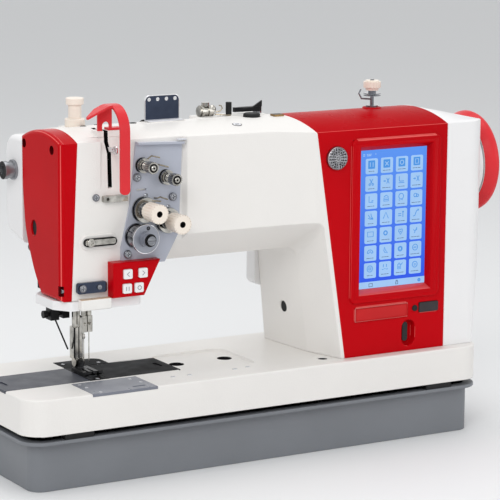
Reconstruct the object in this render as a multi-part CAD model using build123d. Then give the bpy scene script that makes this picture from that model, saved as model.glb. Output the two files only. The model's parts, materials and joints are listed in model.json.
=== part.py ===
from build123d import *
import math
import os

os.makedirs("parts", exist_ok=True)

# Frame: X runs towards the handwheel, Y to the back, Z up; X and Y are zero between the two needles.
# Heights are measured from the bed top, and the finished pieces are raised by BED_HEIGHT onto the base.

# Shared values
BED_HEIGHT = 102.0
CUT_OVERRUN = 3.0
RUN_GAP = 0.06
SLIP_GAP = 0.3
SLOT_WIDTH = 1.0
SLOT_DEPTH = 0.9
QUARTER_TURN_DEG = 90.0
HALF_TURN_DEG = 180.0
TAPER_SHARE = 0.5
LEFT = (-1, 0, 0)
RIGHT = (1, 0, 0)
FRONT = (0, -1, 0)
BACK = (0, 1, 0)
UP = (0, 0, 1)
DOWN = (0, 0, -1)
UPRIGHT = (Align.CENTER, Align.CENTER, Align.MIN)

# Bed casting
BED_LEFT = -112.0
BED_LENGTH = 580.0
BED_DEPTH = 178.0
BED_RIM = 40.0
BED_SKIN = 10.0
BED_WALL = 9.0
BED_CORNER = 25.0
BED_EDGE_ROUND = 2.0
BED_RIB = 8.0
BED_RIB_XS = (212.0, 286.0)
HOOK_OPENING_X = (-96.0, 88.0)
HOOK_OPENING_HALF = 27.0
BELT_OPENING_X = (316.0, 362.0)
BELT_OPENING_Y = (-40.0, 52.0)
POCKET_X = (97.0, 192.0)
POCKET_Y = (-46.0, 41.0)
POCKET_CORNER = 15.0
POCKET_HOLE_XS = (114.0, 175.6)
POCKET_HOLE_Y = 3.0
POCKET_HOLE_RADIUS = 8.0
OIL_HOLE_X = 266.0
OIL_HOLE_Y = -62.0
OIL_HOLE_RADIUS = 5.5
HINGE_XS = (-30.0, 330.0)
HINGE_DROP = 22.0
HINGE_RADIUS = 8.0
HINGE_DEPTH = 28.0
HINGE_BOSS = 26.0
HANGER_END_INSETS = (168.0, 68.0)
HANGER_THICK = 12.0
HANGER_HALF = 14.0

# Plates let into the bed
PLATE_THICK = 3.0
PLATE_GAP = 0.2
PLATE_CORNER = 4.0
SLIDE_HALF = 32.0
SLIDE_FINGER_LENGTH = 18.0
SLIDE_FINGER_WIDTH = 5.0
SLIDE_FINGER_DEPTH = 1.2
SLIDE_FINGER_INSET = 12.0
RIGHT_SLIDE_END = 100.0
NEEDLE_PLATE_HALF_X = 11.0
NEEDLE_PLATE_HALF_Y = 33.0
FEED_WINDOW_HALF_X = 7.8
FEED_WINDOW_Y = (-20.0, 22.0)
REAR_PLATE_X = (-10.0, 44.5)
REAR_PLATE_Y = (33.2, 63.0)
REAR_PLATE_CORNER = 12.0
FRONT_PLATE_X = (-36.5, 41.0)
FRONT_PLATE_Y = (-89.0, -37.0)
FRONT_PLATE_SLOT = (16.0, 3.0)
FRONT_PLATE_SLOT_AT = (24.0, -78.0)

# Bed screws: places of the heads
BED_SCREW_RADIUS = 3.0
BED_SCREW_HEIGHT = 1.6
BED_SCREW_SPOTS = ((153.7, -58.5), (171.5, -56.4), (96.6, -58.7), (76.2, -58.2))
FRONT_PLATE_SCREW_SPOTS = ((-30.0, -43.0), (-29.0, -58.0), (-24.0, -82.0), (30.0, -45.0), (34.0, -62.0))
REAR_PLATE_SCREW_SPOTS = ((-3.0, 52.0), (12.0, 42.0), (36.0, 42.0))
NEEDLE_PLATE_SCREW_SPOTS = ((0.0, -27.0), (0.0, 28.0))
PLATE_SCREW_RADIUS = 2.4

# Oil pan and cushions
PAN_INSET = 9.0
PAN_WALL = 3.0
PAN_FLANGE = 4.0
PAN_FLANGE_DROP = 46.0
PAN_FOOT_RIB = 2.0
CUSHION_LENGTH = 34.0
CUSHION_WIDTH = 10.0
CUSHION_INSET_X = 60.0
CUSHION_INSET_Y = 6.0
DRAIN_RADIUS = 9.0
DRAIN_LIP = 2.5
DRAIN_END_INSET = 88.0
DRAIN_Y = -62.0

# Arm casting: blank sections along X
ARM_LEFT = -44.0
ARM_STEP_X = 93.0
ARM_FLARE = ((97.0, -51.5, 54.0), (150.0, -57.5, 55.5), (200.0, -65.0, 58.0))
PILLAR_FRONT_X = 247.0
PILLAR_RIGHT = 422.0
ARM_FRONT = -46.0
ARM_REAR = 54.0
PILLAR_FRONT = -75.0
PILLAR_REAR = 60.0
ARM_EDGE_Z = 259.0
NOSE_EDGE_Z = 261.6
ARM_CROWN_Z = 271.0
ARM_EDGE_ROUND = 6.0
ARM_UNDERSIDE = 123.0
NOSE_BOTTOM = 92.0
NOSE_RIGHT_LOW = 40.0
NOSE_RIGHT_HIGH = 62.0
NOSE_TAPER_TOP = 185.0
NOSE_TAPER_REAR = 38.0
THROAT_OUTER_Y = -78.0
THROAT_INNER_Y = -22.0
THROAT_REAR_Y = 63.0
THROAT_OUTER = ((62.0, 130.0), (92.0, 186.0), (257.0, 158.5), (284.2, 0.0))
THROAT_INNER = ((56.0, 112.0), (62.0, ARM_UNDERSIDE), (252.5, ARM_UNDERSIDE), (268.5, 0.0))
THROAT_REAR = ((56.0, 112.0), (62.0, ARM_UNDERSIDE), (250.0, ARM_UNDERSIDE), (262.0, 0.0))
THROAT_CORNERS = (9.0, 15.0, 15.0)
JOINT_TOP_X = -32.0
JOINT_LOW_X = -40.0
NOSE_CAVITY_X = (-60.0, 26.0)
NOSE_CAVITY_Y = (-37.0, 33.0)
NOSE_CAVITY_Z = (104.0, 240.0)
ARM_CAVITY_X = (38.0, 388.0)
ARM_CAVITY_Y = (-36.0, 42.0)
ARM_CAVITY_Z = (148.0, 240.0)
BELT_CAVITY_X = (306.0, 388.0)
BELT_CAVITY_Y = (-44.0, 48.0)
PILLAR_HOLE_RADIUS = 6.5
PILLAR_HOLE_AT = (15.0, 46.5)
PILLAR_PLUG_INSET = 1.0
TAKE_UP_X = 6.4
TAKE_UP_SLOT_HALF = 2.2
TAKE_UP_SLOT_Z = (211.0, 275.0)
TAKE_UP_SLOT_REAR = -5.0
TAKE_UP_RECESS_X = (-4.4, 22.0)
TAKE_UP_RECESS_PROFILE = ((-46.0, 205.0), (-43.7, 248.0), (-36.5, 260.0), (-36.5, 275.0))
BOSS_X = (-30.0, 13.0)
BOSS_Z = 155.0
BOSS_HALF = 8.0
BOSS_RISE = 3.0

# Flat pads on the curved top of the arm
PAD_DEPTH = 12.0
GUARD_PAD = ((-4.4, 28.0), (-36.0, -22.0), 271.5)
REGULATOR_PAD = ((-14.0, 15.0), (12.0, 39.0), 269.0)
GUIDE_PAD = ((74.0, 122.0), (-1.0, 14.0), 271.6)
WINDER_PAD = ((146.0, 232.0), (6.0, 34.0), 271.6)

# Face plate and nose pieces
FACE_LEFT = -53.0
FACE_OUTLINE = ((-46.0, 92.5), (-46.0, 261.2), (50.4, 260.3), (49.5, 205.0),
                (43.0, 155.0), (22.0, 115.0), (4.0, 92.5))
FACE_BEND = 100.0
FACE_CROWN_Z = 270.8
FACE_WALL = 4.0
FACE_ROUND = 5.0
FACE_SCREW_RADIUS = 5.0
FACE_SCREW_HEIGHT = 3.0
FACE_SCREW_SPOTS = ((-26.5, 253.0), (41.5, 252.5))
FACE_PLUG_AT = (18.6, 163.0)
FACE_PLUG_RADII = (7.0, 9.0)
FACE_LOW_SCREW = (-46.0, 104.0)
FACE_POCKET = 11.0
NOSE_PLATE_Z = (82.0, 92.0)
NOSE_PLATE_OUTLINE = ((-42.0, -49.0), (40.0, -49.0), (46.0, -40.0), (46.0, 36.0),
                      (-30.0, 36.0), (-55.0, 12.0), (-55.0, -30.0))
NOSE_PLATE_ROUND = 5.0
NOSE_PLATE_WINDOW = ((-34.0, 20.0), (-34.0, 34.0))
LAMP_X = (-34.0, 2.0)
LAMP_Y = (-58.0, -49.0)
LAMP_Z = (83.0, 95.0)
LAMP_ROUND = 1.5
GUIDE_BAR_X = (-35.0, 0.0)
GUIDE_BAR_Z = (100.0, 112.0)
GUIDE_BAR_THICK = 4.0
GUIDE_BAR_SCREWS = ((-29.0, 106.0, 4.2), (-9.0, 106.0, 2.8))

# Tension plate and tensions
TENSION_PLATE_OUTLINE = ((36.0, 259.0), (92.0, 256.6), (88.0, 157.0), (71.0, 126.5), (61.0, 126.5),
                         (61.0, 132.0), (18.0, 132.0), (18.0, 146.0), (28.5, 190.0), (33.0, 230.0))
TENSION_PLATE_THICK = 2.5
TENSION_LIP = 8.0
TENSION_SLIT = ((36.5, 48.5), (205.8, 208.2))
TENSION_SCREWS = ((36.5, 220.8), (80.1, 196.8), (25.2, 138.5))
TENSION_SCREW_RADIUS = 4.5
MAIN_TENSIONS = ((45.0, 185.4), (73.0, 172.0))
PRE_TENSIONS = ((43.0, 233.6), (71.4, 219.0))
STUD_RADIUS = 2.6
MAIN_STUD_LENGTH = 29.0
PRE_STUD_LENGTH = 27.4
MAIN_DISC_RADIUS = 13.5
MAIN_DISC_STEPS = ((14.5, 2.0), (6.0, 1.5), (13.5, 1.2), (6.0, 1.0), (13.5, 1.2), (9.0, 1.6))
PRE_DISC_STEPS = ((8.5, 1.6), (4.0, 2.0), (8.0, 1.0), (4.0, 0.8), (8.0, 1.0), (5.5, 1.2))
SPRING_WIRE = 0.9
MAIN_SPRING = (7.6, 2.0)
PRE_SPRING = (4.8, 3.0)
SPRING_RING_COUNT = 3
MAIN_NUT = (10.0, 10.6, 22.0)
MAIN_NUT_MOUTH = (3.4, 6.0)
PRE_NUT = (6.4, 6.6, 10.0)
PRE_NUT_MOUTH = (4.9, 2.0)
NUT_NOTCH_COUNT = 20
NUT_NOTCH = 1.0
KNOB_NOTCH_COUNT = 16
KNOB_NOTCH = 1.2
REGULATOR_AT = (36.0, 157.5)
REGULATOR_STEPS = ((14.0, 2.0), (11.5, 18.0), (16.0, 3.0), (8.5, 5.0), (7.0, 5.0), (5.0, 3.0))
CHECK_WIRE = 0.8
CHECK_REACH = (-17.0, 9.0)

# Thread guides on the front of the nose
GUIDE_SCREW = (-11.0, 202.0, 4.0)
GUIDE_LEVER_X = (-4.0, 25.0)
GUIDE_LEVER_Z = (196.5, 203.5)
GUIDE_LEVER_THICK = 5.0
GUIDE_LEVER_EYE = 1.6
BOSS_GUIDE_X = (-26.0, 10.0)
BOSS_GUIDE_WIDTH = 6.0
BOSS_GUIDE_THICK = 3.0
BOSS_GUIDE_HEAD = 4.6

# Take-up lever and guard
TAKE_UP_PIVOT = (-10.0, 226.0)
TAKE_UP_THICK = 2.0
TAKE_UP_HUB = 7.0
TAKE_UP_PIN = 3.0
TAKE_UP_ELBOW = (-36.0, 252.0)
TAKE_UP_TIP = (-58.0, 253.0)
TAKE_UP_ARM = 2.6
TAKE_UP_TIP_RADIUS = 4.5
TAKE_UP_EYE = 1.3
TAKE_UP_EYE_GAP = 5.5
TAKE_UP_PIN_X = (5.0, 26.0)
GUARD_SHEET = 2.5
GUARD_WALL_X = (-3.0, 13.6)
GUARD_WALL_Y = -36.0
GUARD_ARCH = 4.4
GUARD_ARCH_RISE = 9.5
GUARD_STRAP_X = (7.9, 19.4)
GUARD_STRAP_FRONT = -67.0
GUARD_STRAP_LOW = 206.0
GUARD_STRAP_ROUND = 5.0
GUARD_TOP = 299.8
GUARD_BEND = 28.0
GUARD_ROOF_FRONT = -50.0
GUARD_ROOF_BEND_X = 4.0
GUARD_ROOF_ROUND = 16.0
GUARD_TIP_WIDTH = 2.0
GUARD_ROOF_TIP = (-21.6, 288.5)
GUARD_FOOT_X = (9.5, 26.0)
GUARD_FOOT_REAR = -26.0

# Key box and keys
KEY_BOX_OUTLINE = ((3.0, 132.0), (60.0, 132.0), (40.5, 94.0), (3.0, 94.0))
KEY_BOX_FRONT = -60.0
KEY_BOX_ROUND = 2.0
KEY_SPOTS = ((19.6, 119.2), (37.8, 119.2), (18.8, 103.6), (33.0, 103.6))
KEY_SIZE = 10.4
KEY_ROUND = 1.6
KEY_RISE = 2.2
KEY_TAIL = 4.0
KEY_WELL = 8.0
KEY_NAMES = ("key_upper_left", "key_upper_right", "key_lower_left", "key_lower_right")

# Panel housing, screen and end cover
HOUSING_LOW_X = 287.0
HOUSING_WALL = 18.0
HOUSING_ROOF_Z = 243.0
HOUSING_REAR = 36.0
BEZEL_X = (292.0, 412.0)
BEZEL_Z = (62.0, 248.0)
BEZEL_RISE = 3.0
BEZEL_CORNER = 7.0
BEZEL_RIM = 6.0
SCREEN_X = (304.0, 400.0)
SCREEN_Z = (76.0, 238.0)
SCREEN_CORNER = 2.0
SCREEN_DROP = 9.0
SCREEN_THICK = 3.0
NAME_PLATE_X = (299.0, 371.0)
NAME_PLATE_Z = (40.0, 57.0)
NAME_PLATE_RISE = 1.0
NAME_PLATE_CORNER = 2.0
SPEAKER_AT = (272.5, 229.0)
SPEAKER_RADIUS = 13.0
SPEAKER_SEAT = 2.0
SPEAKER_RISE = 4.0
SPEAKER_RIB_COUNT = 24
SPEAKER_RIB = 1.2
SPEAKER_CAP = 5.0
SIGHT_X = 373.0
SIGHT_Z = (6.0, 36.0)
SIGHT_WIDTH = 18.0
SIGHT_DEPTH = 9.0
SIGHT_SLOT_WIDTH = 7.0
SIGHT_SLOT_LENGTH = 22.0
SIGHT_THICK = 2.0
PORT_X = (387.0, 413.0)
PORT_Z = (43.5, 54.5)
PORT_THICK = 3.0
PORT_RISE = 1.2
PORT_CORNER = 1.5
PORT_BUTTON_X = 381.0
PORT_BUTTON_RADIUS = 3.6
PORT_TETHER = 4.0
COVER_RIGHT = 478.0
COVER_LOW_RIGHT = 462.0
COVER_BEND_Z = 155.0
COVER_END_Z = 259.0
COVER_CORNER = 22.0
COVER_WALL = 5.0
COLLAR_RADIUS = 52.0
COLLAR_RIGHT = 490.0
COLLAR_BORE = 16.0
REAR_COVER_X = (248.0, 436.0)
REAR_COVER_Y = (60.0, 84.0)
REAR_COVER_Z = (64.0, 246.0)
REAR_COVER_ROUND = 8.0
REAR_COVER_VENT = (60.0, 3.0)
REAR_COVER_VENT_ZS = (90.0, 100.0, 110.0, 120.0, 130.0)
REAR_COVER_VENT_DEPTH = 4.0

# Actuator cover behind the nose
ACTUATOR_X = (-50.0, 66.0)
ACTUATOR_OUTLINE = ((54.0, 140.0), (54.0, 257.0), (98.0, 257.0), (98.0, 150.0))
ACTUATOR_CORNER = 20.0
ACTUATOR_ROUND = 6.0
STOP_AT = (74.0, 219.0)
STOP_STEPS = ((11.0, 3.0), (9.0, 6.0), (10.0, 5.0))
STOP_BORE = 5.0
STOP_BORE_DEPTH = 8.0

# Drive: main shaft, motor, handwheel, belt, lower shaft
SHAFT_Z = 201.0
SHAFT_RADIUS = 8.0
SHAFT_X = (12.0, 500.0)
CRANK_X = (12.0, 22.0)
CRANK_RADIUS = 22.0
CRANK_PIN = 3.5
CRANK_THROW = 16.7
CRANK_PIN_LENGTH = 4.0
BUSH_RADIUS = 15.0
MOTOR_X = (422.0, 468.0)
MOTOR_RADIUS = 40.0
MOTOR_BORE = 22.0
ROTOR_X = (426.0, 464.0)
ROTOR_RADIUS = 21.0
MOTOR_FIN_COUNT = 18
MOTOR_FIN = 2.0
WHEEL_PROFILE = ((474.0, 8.0), (474.0, 14.0), (492.5, 14.0), (492.5, 44.0), (491.5, 53.0), (501.0, 59.0),
                 (504.0, 59.5), (508.0, 58.0), (510.0, 54.0), (508.0, 48.0), (502.0, 40.0), (502.0, 18.0),
                 (508.0, 15.0), (508.0, 0.0), (500.0, 0.0), (500.0, 8.0))
PULLEY_X = (332.0, 348.0)
PULLEY_RADIUS = 24.0
PULLEY_FLANGE = 1.6
PULLEY_FLANGE_RISE = 4.5
BELT_X = (334.5, 345.5)
BELT_THICK = 2.2
LOWER_SHAFT_Y = 24.0
LOWER_SHAFT_Z = -62.0
LOWER_SHAFT_RADIUS = 7.0
LOWER_SHAFT_X = (-52.0, 412.0)
DRIVE_GEAR_RADIUS = 15.0
DRIVE_GEAR_WIDTH = 12.0
GEAR_TOOTH_COUNT = 20
DRIVE_TOOTH_COUNT = 40
GEAR_TOOTH = 1.6

# Hooks, bobbins, saddles and feed
NEEDLE_GAUGE = 6.4
HOOK_X = 22.2
HOOK_Y = -2.0
HOOK_RADIUS = 18.0
HOOK_BORE = 15.2
HOOK_Z = (-30.0, -10.0)
HOOK_FLOOR = 4.0
HOOK_SHAFT_RADIUS = 6.0
HOOK_SHAFT_LOW = -74.0
HOOK_GEAR_RADIUS = 10.0
HOOK_GEAR_HEIGHT = 16.0
HOOK_NOTCH = (7.0, 6.0)
CASE_RADIUS = 14.9
CASE_BORE = 13.0
CASE_Z = (-25.5, -7.0)
CASE_FLOOR = 1.5
CASE_ARM_Y = (-26.0, -12.0)
CASE_ARM_HALF = 3.0
CASE_ARM_THICK = 2.0
CASE_FOOT_Y = (-30.0, -22.0)
CASE_FOOT_Z = (-18.0, -14.0)
BOBBIN_RADIUS = 12.6
BOBBIN_HUB = 5.0
BOBBIN_BORE = 3.0
BOBBIN_FLANGE = 1.0
BOBBIN_Z = (-23.4, -8.4)
SADDLE_X = (9.5, 46.0)
SADDLE_HALF_Y = 42.0
SADDLE_Z = (-46.0, -33.0)
SADDLE_POST = 12.0
SADDLE_SIDE = 8.0
SADDLE_SIDE_Y = (10.0, 40.0)
SADDLE_LOW = -76.0
FEED_DOG_HALF = 6.8
FEED_DOG_Y = (-13.0, 14.0)
FEED_DOG_Z = (-7.0, 0.6)
FEED_TOOTH_COUNT = 8
FEED_TOOTH = 1.0
FEED_SLOT_HALF = (1.2, 8.0)
FEED_STEM_Y = (13.0, 22.0)
FEED_STEM_HALF = 4.0
FEED_BAR_Y = (-60.0, 42.0)
FEED_BAR_Z = (-31.6, -24.0)
FEED_BAR_HALF = 3.4

# Needle bars
BAR_RADIUS = 2.9
BAR_TOP = 196.0
CLAMP_Z = (47.0, 65.0)
CLAMP_HALF = (2.95, 4.2)
CLAMP_SCREW = (1.5, 2.2)
CLAMP_CHAMFER = 1.0
NEEDLE_RADIUS = 0.55
NEEDLE_LOW = 10.0
NEEDLE_POINT = 5.0
BAR_BLOCK_Z = (74.0, 82.0)
BAR_BLOCK_X = (-12.0, 14.0)
BAR_BLOCK_Y = (-10.0, 12.0)

# Presser bar, foot, regulator, lifter and wiper
PRESSER_Y = 25.0
PRESSER_RADIUS = 4.6
PRESSER_Z = (30.0, 222.0)
SHANK_X = (-5.5, 5.5)
SHANK_Y = (18.0, 31.0)
SHANK_Z = (12.5, 48.0)
SHANK_GROOVE = (1.4, 2.0)
SHANK_CHAMFER = 1.5
SHANK_SCREW = (3.4, 4.0)
SHANK_SCREW_Z = 36.0
SHANK_FORK = 5.0
FOOT_PIVOT = (20.0, 9.0)
FOOT_PIVOT_RADIUS = 2.4
FOOT_ANKLE_HALF = 2.8
FOOT_ANKLE_Y = (12.0, 23.0)
FOOT_ANKLE_Z = (1.0, 12.0)
FOOT_SOLE_HALF = 9.5
FOOT_SOLE_PROFILE = ((-22.0, 4.5), (-15.0, 0.8), (17.0, 0.8), (17.0, 4.2), (-12.0, 4.2), (-20.0, 7.0))
FOOT_SLOT_HALF = 1.3
FOOT_SLOT_Y = (-30.0, 5.0)
REGULATOR_STEPS_UP = ((11.0, 9.0), (7.2, 15.0), (9.8, 7.5))
REGULATOR_ROUND = 1.2
LIFTER_PIVOT = (0.0, 136.0)
LIFTER_Y = (49.0, 53.0)
LIFTER_HUB = 6.0
LIFTER_LENGTH = 38.0
LIFTER_WIDTH = 9.0
LIFTER_PIN = 3.0
WIPER_AXIS = (38.0, 62.0)
WIPER_ROD_X = (-34.0, 2.0)
WIPER_ROD_RADIUS = 2.6
WIPER_BLOCK_X = (-27.0, -17.0)
WIPER_BLOCK_HALF = 6.5
WIPER_KNOB = (4.2, 5.0)
WIPER_WIRE = 0.9
WIPER_WIRE_END = (-8.0, 29.0, 22.0)
WIPER_LUG_X = (-12.0, -4.0)
WIPER_LUG_HALF = 5.5

# Fittings on the top
GUIDE_PLATE_X = (76.5, 119.5)
GUIDE_PLATE_Y = 10.0
GUIDE_PLATE_TOP = 300.0
GUIDE_PLATE_SHEET = 1.6
GUIDE_PLATE_CORNER = 6.0
GUIDE_PLATE_FOOT = 9.0
GUIDE_PLATE_EYE = 1.5
GUIDE_PLATE_EYE_COUNT = 4
GUIDE_PLATE_EYE_DROP = 4.5
WINDER_BODY_X = (150.0, 168.0)
WINDER_BODY_Y = 20.0
WINDER_BODY_RADIUS = 5.5
WINDER_COLLAR = (7.0, 3.0)
WINDER_COLLAR_XS = (152.0, 161.0)
WINDER_STEM_RADIUS = 2.5
WINDER_STEM_TOP = 287.0
WINDER_CAP = (4.4, 4.0)
WINDER_PIN_AT = (189.0, 20.0)
WINDER_PIN = (3.4, 14.0)
WINDER_LEVER_PIVOT = (226.0, 20.0)
WINDER_LEVER_HUB = 5.0
WINDER_LEVER_PROFILE = ((0.0, 5.0), (-30.0, 3.0), (-30.0, -1.0), (0.0, -5.0))
WINDER_LEVER_Z = (274.0, 279.0)
WINDER_LEVER_FIN = ((-8.0, 4.0), 7.0, 2.0)
WINDER_PIVOT_PIN = 2.5
CUTTER_X = (229.0, 241.0)
CUTTER_Y = (-14.0, -4.0)
CUTTER_Z = (266.0, 273.0)
DOME_AT = (206.0, -2.0)
DOME_RADIUS = 9.5
DOME_RISE = 4.0
POST_AT = (370.0, 4.0)
POST_PAD = (11.0, 272.0)
POST_RADIUS = 2.2
POST_DISC_STEPS = ((7.0, 2.0), (2.2, 11.0), (10.0, 1.0), (3.5, 1.0), (10.0, 1.0), (4.5, 3.0))
POST_TOP = 298.0
POST_KNOB_STEPS = ((7.5, 3.0), (10.0, 7.0), (8.0, 1.5))
POST_HOOK = ((-2.0, 0.0, 281.0), (-13.0, 2.0, 282.0), (-16.0, 3.0, 288.0), (-13.0, 4.0, 292.0))
POST_HOOK_WIRE = 0.9


def span_box(x_span, y_span, z_span):
    """Block between pairs of X, Y and Z limits."""
    spans = (x_span, y_span, z_span)
    centre = [(low + high) / 2 for low, high in spans]
    sizes = [high - low for low, high in spans]
    return Pos(*centre) * Box(*sizes)


def rod(origin, direction, radius, length):
    """Round bar that starts at a point and runs in a direction."""
    return Plane(origin, z_dir=direction) * Cylinder(radius, length, align=UPRIGHT)


def turned(origin, direction, steps):
    """Coaxial discs stacked from a list of radius and length pairs."""
    start = Vector(*origin)
    axis = Vector(*direction)
    body = None
    for radius, length in steps:
        disc = rod(start, direction, radius, length)
        body = disc if body is None else body + disc
        start = start + axis * length
    return body


def stack_length(steps):
    """Total length of a turned stack."""
    return sum(length for _, length in steps)


def prism_x(points, x_span):
    """Outline of Y and Z points carried along X."""
    outline = Plane.YZ.offset(x_span[0]) * Polygon(*points, align=None)
    return extrude(outline, x_span[1] - x_span[0], dir=RIGHT)


def prism_y(points, y_span):
    """Outline of X and Z points carried along Y."""
    outline = Plane.XZ.offset(-y_span[0]) * Polygon(*points, align=None)
    return extrude(outline, y_span[1] - y_span[0], dir=BACK)


def prism_z(outline, z_span):
    """Plan sketch carried along Z."""
    return Pos(0, 0, z_span[0]) * extrude(outline, z_span[1] - z_span[0], dir=UP)


def plan_rectangle(x_span, y_span, corner):
    """Plan rectangle with rounded corners between pairs of limits."""
    centre = ((x_span[0] + x_span[1]) / 2, (y_span[0] + y_span[1]) / 2)
    return Pos(*centre) * RectangleRounded(x_span[1] - x_span[0], y_span[1] - y_span[0], corner)


def front_rectangle(x_span, z_span, corner, y):
    """Rounded rectangle on a plane that faces the front."""
    centre = ((x_span[0] + x_span[1]) / 2, (z_span[0] + z_span[1]) / 2)
    sheet = Pos(*centre) * RectangleRounded(x_span[1] - x_span[0], z_span[1] - z_span[0], corner)
    return Plane.XZ.offset(-y) * sheet


def slotted_screw(origin, direction, radius, height):
    """Screw head with one straight slot."""
    frame = Plane(origin, z_dir=direction)
    head = Cylinder(radius, height, align=UPRIGHT)
    head = chamfer(head.edges().group_by(Axis.Z)[-1], radius / 6)
    slot = Pos(0, 0, height) * Box(radius * 4, radius / 3, height)
    return frame * (head - slot)


def crossed_screw(origin, direction, radius, height):
    """Pan head with a cross recess."""
    frame = Plane(origin, z_dir=direction)
    head = Cylinder(radius, height, align=UPRIGHT)
    head = fillet(head.edges().group_by(Axis.Z)[-1], height / 3)
    for turn in (0, QUARTER_TURN_DEG):
        head -= Pos(0, 0, height) * Rot(0, 0, turn) * Box(radius, radius / 4, height)
    return frame * head


def spring_rings(origin, direction, values):
    """Row of wire rings that stands for a coil spring."""
    radius, pitch = values
    rings = []
    for index in range(SPRING_RING_COUNT):
        point = Vector(*origin) + Vector(*direction) * (pitch * (index + TAPER_SHARE))
        rings.append(Plane(point, z_dir=direction) * Torus(radius - SPRING_WIRE, SPRING_WIRE))
    return rings


def notched(body, origin, direction, radius, length, count, notch):
    """Grip notches cut around a round knob."""
    frame = Plane(origin, z_dir=direction)
    for index in range(count):
        turn = Rot(0, 0, 2 * HALF_TURN_DEG * index / count)
        groove = Cylinder(notch / 2, length, align=UPRIGHT)
        body -= frame * (turn * Pos(radius, 0, 0) * groove)
    return body


def bed_plan(inset, corner):
    """Plan outline of the bed drawn in by an inset."""
    centre = BED_LEFT + BED_LENGTH / 2
    return Pos(centre, 0) * RectangleRounded(BED_LENGTH - 2 * inset, BED_DEPTH - 2 * inset, corner)


def make_bed():
    """Bed casting with seats for plates, slide pocket, belt opening and shaft hangers."""
    body = extrude(bed_plan(0, BED_CORNER), BED_RIM, dir=DOWN)
    body = fillet(body.edges().group_by(Axis.Z)[-1], BED_EDGE_ROUND)
    inner = extrude(bed_plan(BED_WALL, BED_CORNER - BED_WALL), BED_RIM, dir=DOWN)
    body -= Pos(0, 0, -BED_SKIN) * inner
    inner_half = BED_DEPTH / 2 - BED_WALL / 2
    for x in BED_RIB_XS:
        body += span_box((x - BED_RIB / 2, x + BED_RIB / 2), (-inner_half, inner_half),
                         (-BED_RIM, -BED_SKIN / 2))
    hanger_xs = [BED_LEFT + BED_LENGTH - inset for inset in HANGER_END_INSETS]
    for x in hanger_xs:
        reach = (LOWER_SHAFT_Y - HANGER_HALF, LOWER_SHAFT_Y + HANGER_HALF)
        low = LOWER_SHAFT_Z - HANGER_HALF
        body += span_box((x - HANGER_THICK / 2, x + HANGER_THICK / 2), reach, (low, -BED_SKIN / 2))
    for x in HINGE_XS:
        body += span_box((x - HINGE_BOSS / 2, x + HINGE_BOSS / 2),
                         (BED_DEPTH / 2 - HINGE_DEPTH, BED_DEPTH / 2 - BED_WALL / 2),
                         (-BED_RIM, -BED_SKIN / 2))
    for x in HINGE_XS:
        start = BED_DEPTH / 2 + CUT_OVERRUN
        body -= rod((x, start, -HINGE_DROP), FRONT, HINGE_RADIUS, HINGE_DEPTH)
    shaft_bore = LOWER_SHAFT_RADIUS + RUN_GAP
    for x in hanger_xs:
        start = x - HANGER_THICK
        body -= rod((start, LOWER_SHAFT_Y, LOWER_SHAFT_Z), RIGHT, shaft_bore, 2 * HANGER_THICK)
    through = (-BED_RIM, CUT_OVERRUN)
    seat = (-PLATE_THICK, CUT_OVERRUN)
    hook_half = (-HOOK_OPENING_HALF, HOOK_OPENING_HALF)
    body -= span_box(HOOK_OPENING_X, hook_half, through)
    body -= span_box(BELT_OPENING_X, BELT_OPENING_Y, through)
    slide_half = SLIDE_HALF + PLATE_GAP
    slide_reach = (BED_LEFT - CUT_OVERRUN, RIGHT_SLIDE_END)
    body -= span_box(slide_reach, (-slide_half, slide_half), seat)
    pocket = plan_rectangle(POCKET_X, POCKET_Y, POCKET_CORNER)
    body -= prism_z(pocket, seat)
    needle_half = (-NEEDLE_PLATE_HALF_Y, REAR_PLATE_Y[0])
    body -= span_box((-NEEDLE_PLATE_HALF_X, NEEDLE_PLATE_HALF_X), needle_half, seat)
    body -= prism_z(rear_plate_plan(), seat)
    body -= span_box(FRONT_PLATE_X, (FRONT_PLATE_Y[0] - CUT_OVERRUN, FRONT_PLATE_Y[1]), seat)
    for x in POCKET_HOLE_XS:
        body -= rod((x, POCKET_HOLE_Y, CUT_OVERRUN), DOWN, POCKET_HOLE_RADIUS, BED_RIM)
    body -= rod((OIL_HOLE_X, OIL_HOLE_Y, CUT_OVERRUN), DOWN, OIL_HOLE_RADIUS, BED_RIM)
    for x, y in BED_SCREW_SPOTS:
        body -= rod((x, y, CUT_OVERRUN), DOWN, BED_SCREW_RADIUS, CUT_OVERRUN + BED_SCREW_HEIGHT)
    return body


def rear_plate_plan():
    """Plan of the rear plate with one large round corner."""
    points = ((REAR_PLATE_X[0], REAR_PLATE_Y[0]), (REAR_PLATE_X[1], REAR_PLATE_Y[0]),
              (REAR_PLATE_X[1], REAR_PLATE_Y[1]), (REAR_PLATE_X[0], REAR_PLATE_Y[1]))
    plan = Polygon(*points, align=None)
    corner = plan.vertices().sort_by(Axis.X)[-2:].sort_by(Axis.Y)[-1]
    return fillet(corner, REAR_PLATE_CORNER)


def plate_holes(body, spots, radius):
    """Sunk seats for flush screw heads."""
    for x, y in spots:
        body -= rod((x, y, CUT_OVERRUN), DOWN, radius, CUT_OVERRUN + BED_SCREW_HEIGHT)
    return body


def make_rear_plate():
    """Black plate behind the needle plate."""
    body = prism_z(rear_plate_plan(), (-PLATE_THICK, 0))
    return plate_holes(body, REAR_PLATE_SCREW_SPOTS, PLATE_SCREW_RADIUS)


def make_front_plate():
    """Grey plate at the front edge of the bed."""
    body = span_box(FRONT_PLATE_X, FRONT_PLATE_Y, (-PLATE_THICK, 0))
    length, width = FRONT_PLATE_SLOT
    slot = Pos(*FRONT_PLATE_SLOT_AT) * SlotOverall(length, width)
    body -= prism_z(slot, (-BED_SCREW_HEIGHT, CUT_OVERRUN))
    return plate_holes(body, FRONT_PLATE_SCREW_SPOTS, PLATE_SCREW_RADIUS)


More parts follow.
